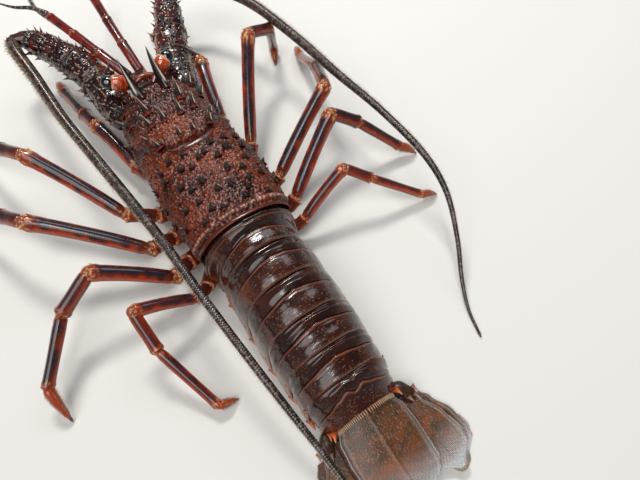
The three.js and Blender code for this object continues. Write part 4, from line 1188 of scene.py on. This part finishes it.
# Tail fan

FAN_ROOT, FAN_LENGTH = 169.1, 37.0
FAN_BASE_PATH = [(13.2, FAN_ROOT - 3.0, 7.4), (17.8, FAN_ROOT - 0.8, 6.6), (19.4, FAN_ROOT + 2.2, 5.8),
                 (20.2, FAN_ROOT + 5, 5.0)]
# Spurs at the root of the side blades: sideways place, distance back, height, length
FAN_SPURS = [(22.4, 0.4, 6.6, 3.6), (21.2, 3.4, 7.0, 3.8), (18.4, 3.2, 7.4, 2.8)]
BLADE = [[0, 0.42], [0.15, 0.62], [0.5, 0.95], [0.75, 1], [0.9, 0.86], [1, 0.34]]
TELSON = [[0, 0.84], [0.15, 0.96], [0.4, 1], [0.8, 0.97], [0.92, 0.84], [1, 0.42]]
TELSON_HUMP = 4.6
RIB_ANGLE = 0.0155
FAN_CENTRE = 9.0


def build_blade(node, root, tip, half, outline, thick, arch, hand, bristles, seed):
    """A fan plate: a hard base with small spines, then a soft ribbed flap with a fringe."""
    root, tip = np.array(root, float), np.array(tip, float)
    length = np.linalg.norm(tip - root)
    rows, columns = 130, 241
    t, u = np.linspace(0, 1, rows)[:, None], np.linspace(-1, 1, columns)[None]
    side = np.abs(u)
    along, across = unit(tip - root), unit(np.cross(UP, tip - root))
    reach = u * half * blend(outline, t)
    run = t * length
    # The far edge is a round sweep rather than a straight cut
    flat = root + along * (run * (1 - 0.10 * side ** 3))[..., None] + across * reach[..., None]
    middle = arch * (1 - u * u)
    half_thick = thick * (1 - 0.68 * step(t, 0.2, 0.75)) / 2 * (1 - 0.75 * side ** 6)
    half_thick = half_thick * (1 - 0.5 * step(t, 0.93, 1))
    ribs = np.cos(np.arctan2(reach, run + FAN_CENTRE) * 2 * PI / RIB_ANGLE)
    soft = step(t - 0.05 * side + 0.04 * waves(flat, 8, seed), 0.42, 0.6)
    midrib = bell(u - 0.12 * hand, 0.05) * (1 - step(t, 0.7, 1.0))
    side_rib = bell(side - 0.9, 0.05) * (1 - step(t, 0.75, 1))
    near, own = cells(reach + 40, run, 0.95, seed)
    grain = dome(near, 0.4) * (1 - soft)
    hump = 0.0 if hand else TELSON_HUMP * (1 - t) ** 2.2 * (1 - 0.5 * u ** 2)
    crown = hump + middle + half_thick + 0.045 * ribs * soft + 0.3 * midrib + 0.3 * side_rib
    crown = crown + 0.1 * grain * own
    upper = flat + UP * crown[..., None]
    under = flat + UP * (middle - half_thick)[..., None]
    mottle = waves(upper, 1.1, seed + 5)
    warm = (0.35 + 0.5 * waves(upper, 9, seed) + 0.25 * mottle) * bell(t - 0.5, 0.3) * (1 - 0.4 * side)
    # The pale mask: the rear half's soft membrane in its own grey-white, brightened by a painted sheen, with
    # ribs, side ribs, specks and a pale edge line
    membrane_and_sheen = step(t, 0.5, 1.0) * (0.5 + 0.16 * ribs + 0.12 * mottle) + 0.22 * step(t, 0.8, 0.92)
    membrane_and_sheen = membrane_and_sheen + 0.12 * side_rib + 0.08 * (near < 0.26) * (own > 0.5) * (1 - soft)
    membrane_and_sheen = membrane_and_sheen + 0.5 * bell(side - 0.988, 0.014)
    dark = 0.35 * (1 - soft) * np.clip(waves(upper, 4, seed + 1), 0, 1) + 0.3 * soft * (ribs < -0.4)
    paint = masks(membrane_and_sheen, dark, warm)
    shape = Shape()
    # The lower face takes every third column
    add_tube(shape, np.concatenate([upper, under[:, ::-3]], axis=1),
             np.concatenate([paint, paint[:, ::-3]], axis=1))
    random = np.random.default_rng(seed)
    count = 26
    row, column = random.integers(6, 50, count), random.integers(16, columns - 16, count)
    add_spikes(shape, upper[row, column], along + 0.5 * UP, random.uniform(0.8, 1.5, count), 0.4,
               ((0, (0, 0, 0.8, 0)), (1, (0.3, 0, 0.6, 0))), rings=3)
    if hand:
        for column in (160 if hand > 0 else 8, 80 if hand > 0 else 8):
            add_spikes(shape, upper[34, column] - 0.4 * UP, along + 0.15 * UP, 2.6, 0.9,
                       ((0, (0, 0, 0.9, 0)), (1, (0.7, 0, 0.4, 0))), sides=9, rings=5)
    cover(shape, node, FAN)
    # Fringe along the far edge and the rear half of the sides
    far = np.repeat(np.arange(2, columns - 2), 3)
    flank = np.repeat(np.arange(76, rows - 1), 4)
    for row, column, way, size in ((rows - 1, far, 0.0, 1.3), (flank, columns - 1, 0.45, 0.8),
                                   (flank, 0, -0.45, 0.8)):
        q = (upper[row, column] + under[row, column]) / 2
        aim = unit(q - root + along * FAN_CENTRE) + way * across
        sideways = 0.5 + 0.45 * (q @ across - root @ across) / half
        spot = np.stack([sideways, 0.03 + 0.94 * (q - root) @ along / length], axis=1)
        add_hairs(bristles, q, aim, size, 0.06, spot, (0, 0, -0.08), seed + 2, paint=(0.55, 0, 0.1, 0))


def build_fan(bristles):
    end = FAN_ROOT + FAN_LENGTH
    build_blade("telson", (0, FAN_ROOT - 0.6, 9.2), (0, end - 1.6, 6.2), 15.2, TELSON, 2.6, 1.4, 0,
                bristles, 101)
    for side_name, hand in SIDES:
        base = Shape()
        path = curve(mirrored(FAN_BASE_PATH, hand), 40)
        t = np.linspace(0, 1, 40)
        wide = 3.1 * blend([[0, 0.5], [0.3, 0.95], [0.8, 1], [1, 0.7]], t)
        tall = 2.3 * blend([[0, 0.5], [0.4, 1], [1, 0.6]], t)
        p, _ = sweep(path, wide, tall, 40)
        add_tube(base, p + normals(p, True) * (0.25 * waves(p, 4, 61))[..., None], (0.0, 0.75, 0.2, 0))
        for x, back, z, length in FAN_SPURS:
            add_spikes(base, [x * hand, FAN_ROOT + back, z], [0.25 * hand, 1, 0.12], length, 1.15, FAN_SPUR,
                       sides=11, rings=6)
        cover(base, f"uropod_base_{side_name}", FAN)
        build_blade(f"uropod_inner_{side_name}", (15.6 * hand, FAN_ROOT + 0.6, 4.4),
                    (20.6 * hand, end - 2.4, 3.6), 9.8, BLADE, 1.5, 0.3, hand, bristles, 105 + hand)
        build_blade(f"uropod_outer_{side_name}", (20.4 * hand, FAN_ROOT + 3.6, 1.6),
                    (22.8 * hand, end - 3.2, 0.9), 10.4, BLADE, 1.5, 0, hand, bristles, 109 + hand)


# Everything

feeler_hair, fan_hair, belly_hair, leg_hair, spurs = (Shape() for _ in range(5))
cover(build_carapace(), "carapace", SHELL)
piece(carapace_spines(), "carapace_spines", SPINES)
build_head()
for number in range(6):
    cover(build_ring(number, spurs), f"abdomen_{number + 1}", TAIL)
piece(spurs, "abdomen_spurs", SPUR)
for side_name, hand in SIDES:
    for number in range(5):
        build_leg(side_name, hand, number, leg_hair)
    build_peduncle(side_name, hand)
    build_whip(side_name, hand, feeler_hair)
    build_antennule(side_name, feeler_hair)
build_mouth(belly_hair)
build_underside()
build_tail_belly(belly_hair)
build_fan(fan_hair)
piece(feeler_hair, "feeler_bristles", HAIR)
piece(fan_hair, "fan_fringe", HAIR)
piece(belly_hair, "belly_bristles", HAIR)
piece(leg_hair, "leg_bristles", HAIR)


# Floor, light and camera

def place_object(name, data):
    obj = bpy.data.objects.new(name, data)
    bpy.context.scene.collection.objects.link(obj)
    return obj


def lamp(name, direction, distance, size, power, colour):
    light = bpy.data.lights.new(name, "AREA")
    light.shape = "RECTANGLE"
    light.size, light.size_y = size
    light.energy = power
    light.color = colour
    obj = place_object(name, light)
    obj.location = Vector(direction).normalized() * distance
    obj.rotation_euler = obj.location.to_track_quat("Z", "Y").to_euler()


pale_floor = bpy.data.materials.new("floor")
pale_floor.use_nodes = True
feed(pale_floor.node_tree.nodes["Principled BSDF"], {"Base Color": rgb("cfcdc8"), "Roughness": 0.8})
floor_mesh = bpy.data.meshes.new("floor")
disc = [(3 * math.cos(a), 3 * math.sin(a), 0) for a in np.linspace(0, 2 * PI, 64, endpoint=False)]
floor_mesh.from_pydata(disc, [], [list(range(64))])
floor_mesh.materials.append(pale_floor)
floor = place_object("floor", floor_mesh)

lamp("window", (-0.15, -0.52, 0.83), 0.9, (0.2, 0.12), 4.9, (1.0, 0.98, 0.95))
lamp("sky", (-0.52, -0.3, 0.78), 1.0, (0.45, 0.45), 2.1, (0.86, 0.93, 1.0))
lamp("overhead", (0.16, 0.3, 0.95), 1.1, (0.1, 0.4), 1.5, (1.0, 1.0, 1.0))
sun = bpy.data.lights.new("daylight", "SUN")
sun.energy, sun.angle = 2.1, 0.9
place_object("daylight", sun).rotation_euler = Vector((0.45, 0.25, 0.85)).to_track_quat("Z", "Y").to_euler()

# The sky is light at the horizon and dim overhead
world = bpy.data.worlds.new("world")
world.use_nodes = True
nodes = world.node_tree.nodes
coordinate = nodes.new("ShaderNodeTexCoord")
split = nodes.new("ShaderNodeSeparateXYZ")
ramp = nodes.new("ShaderNodeValToRGB")
feed(split, {"Vector": coordinate.outputs["Generated"]})
feed(ramp, {"Fac": split.outputs["Z"]})
horizon, overhead = ramp.color_ramp.elements
horizon.position, horizon.color = 0.0, (0.55, 0.55, 0.54, 1)
overhead.position, overhead.color = 0.75, (0.06, 0.065, 0.07, 1)
ramp.color_ramp.elements.new(0.1).color = (0.3, 0.3, 0.3, 1)
feed(nodes["Background"], {"Color": ramp.outputs["Color"], "Strength": 1.0})
bpy.context.scene.world = world
bpy.context.scene.view_settings.view_transform = "Standard"

# The photograph's camera, with its place in the body frame in millimetres
FOCAL_PIXELS, FRAME_PIXELS = 518.0, 640.0
CAMERA_PLACE = np.array([33.190, 186.601, 214.36])
CAMERA_HEADING = (-0.56352605, -0.82609829)
CAMERA_PITCH = math.radians(62)
camera = bpy.data.cameras.new("camera")
camera.sensor_width = 36.0
camera.lens = FOCAL_PIXELS / FRAME_PIXELS * camera.sensor_width
camera.clip_start, camera.clip_end = 0.01, 20.0
eye = place_object("camera", camera)
flat = math.cos(CAMERA_PITCH)
look = Vector((CAMERA_HEADING[0] * flat, CAMERA_HEADING[1] * flat, -math.sin(CAMERA_PITCH)))
right = look.cross(Vector(UP)).normalized()
eye.location = Vector((CAMERA_PLACE + SHIFT) * MM)
eye.rotation_euler = Matrix((right, right.cross(look), -look)).transposed().to_euler()
bpy.context.scene.camera = eye
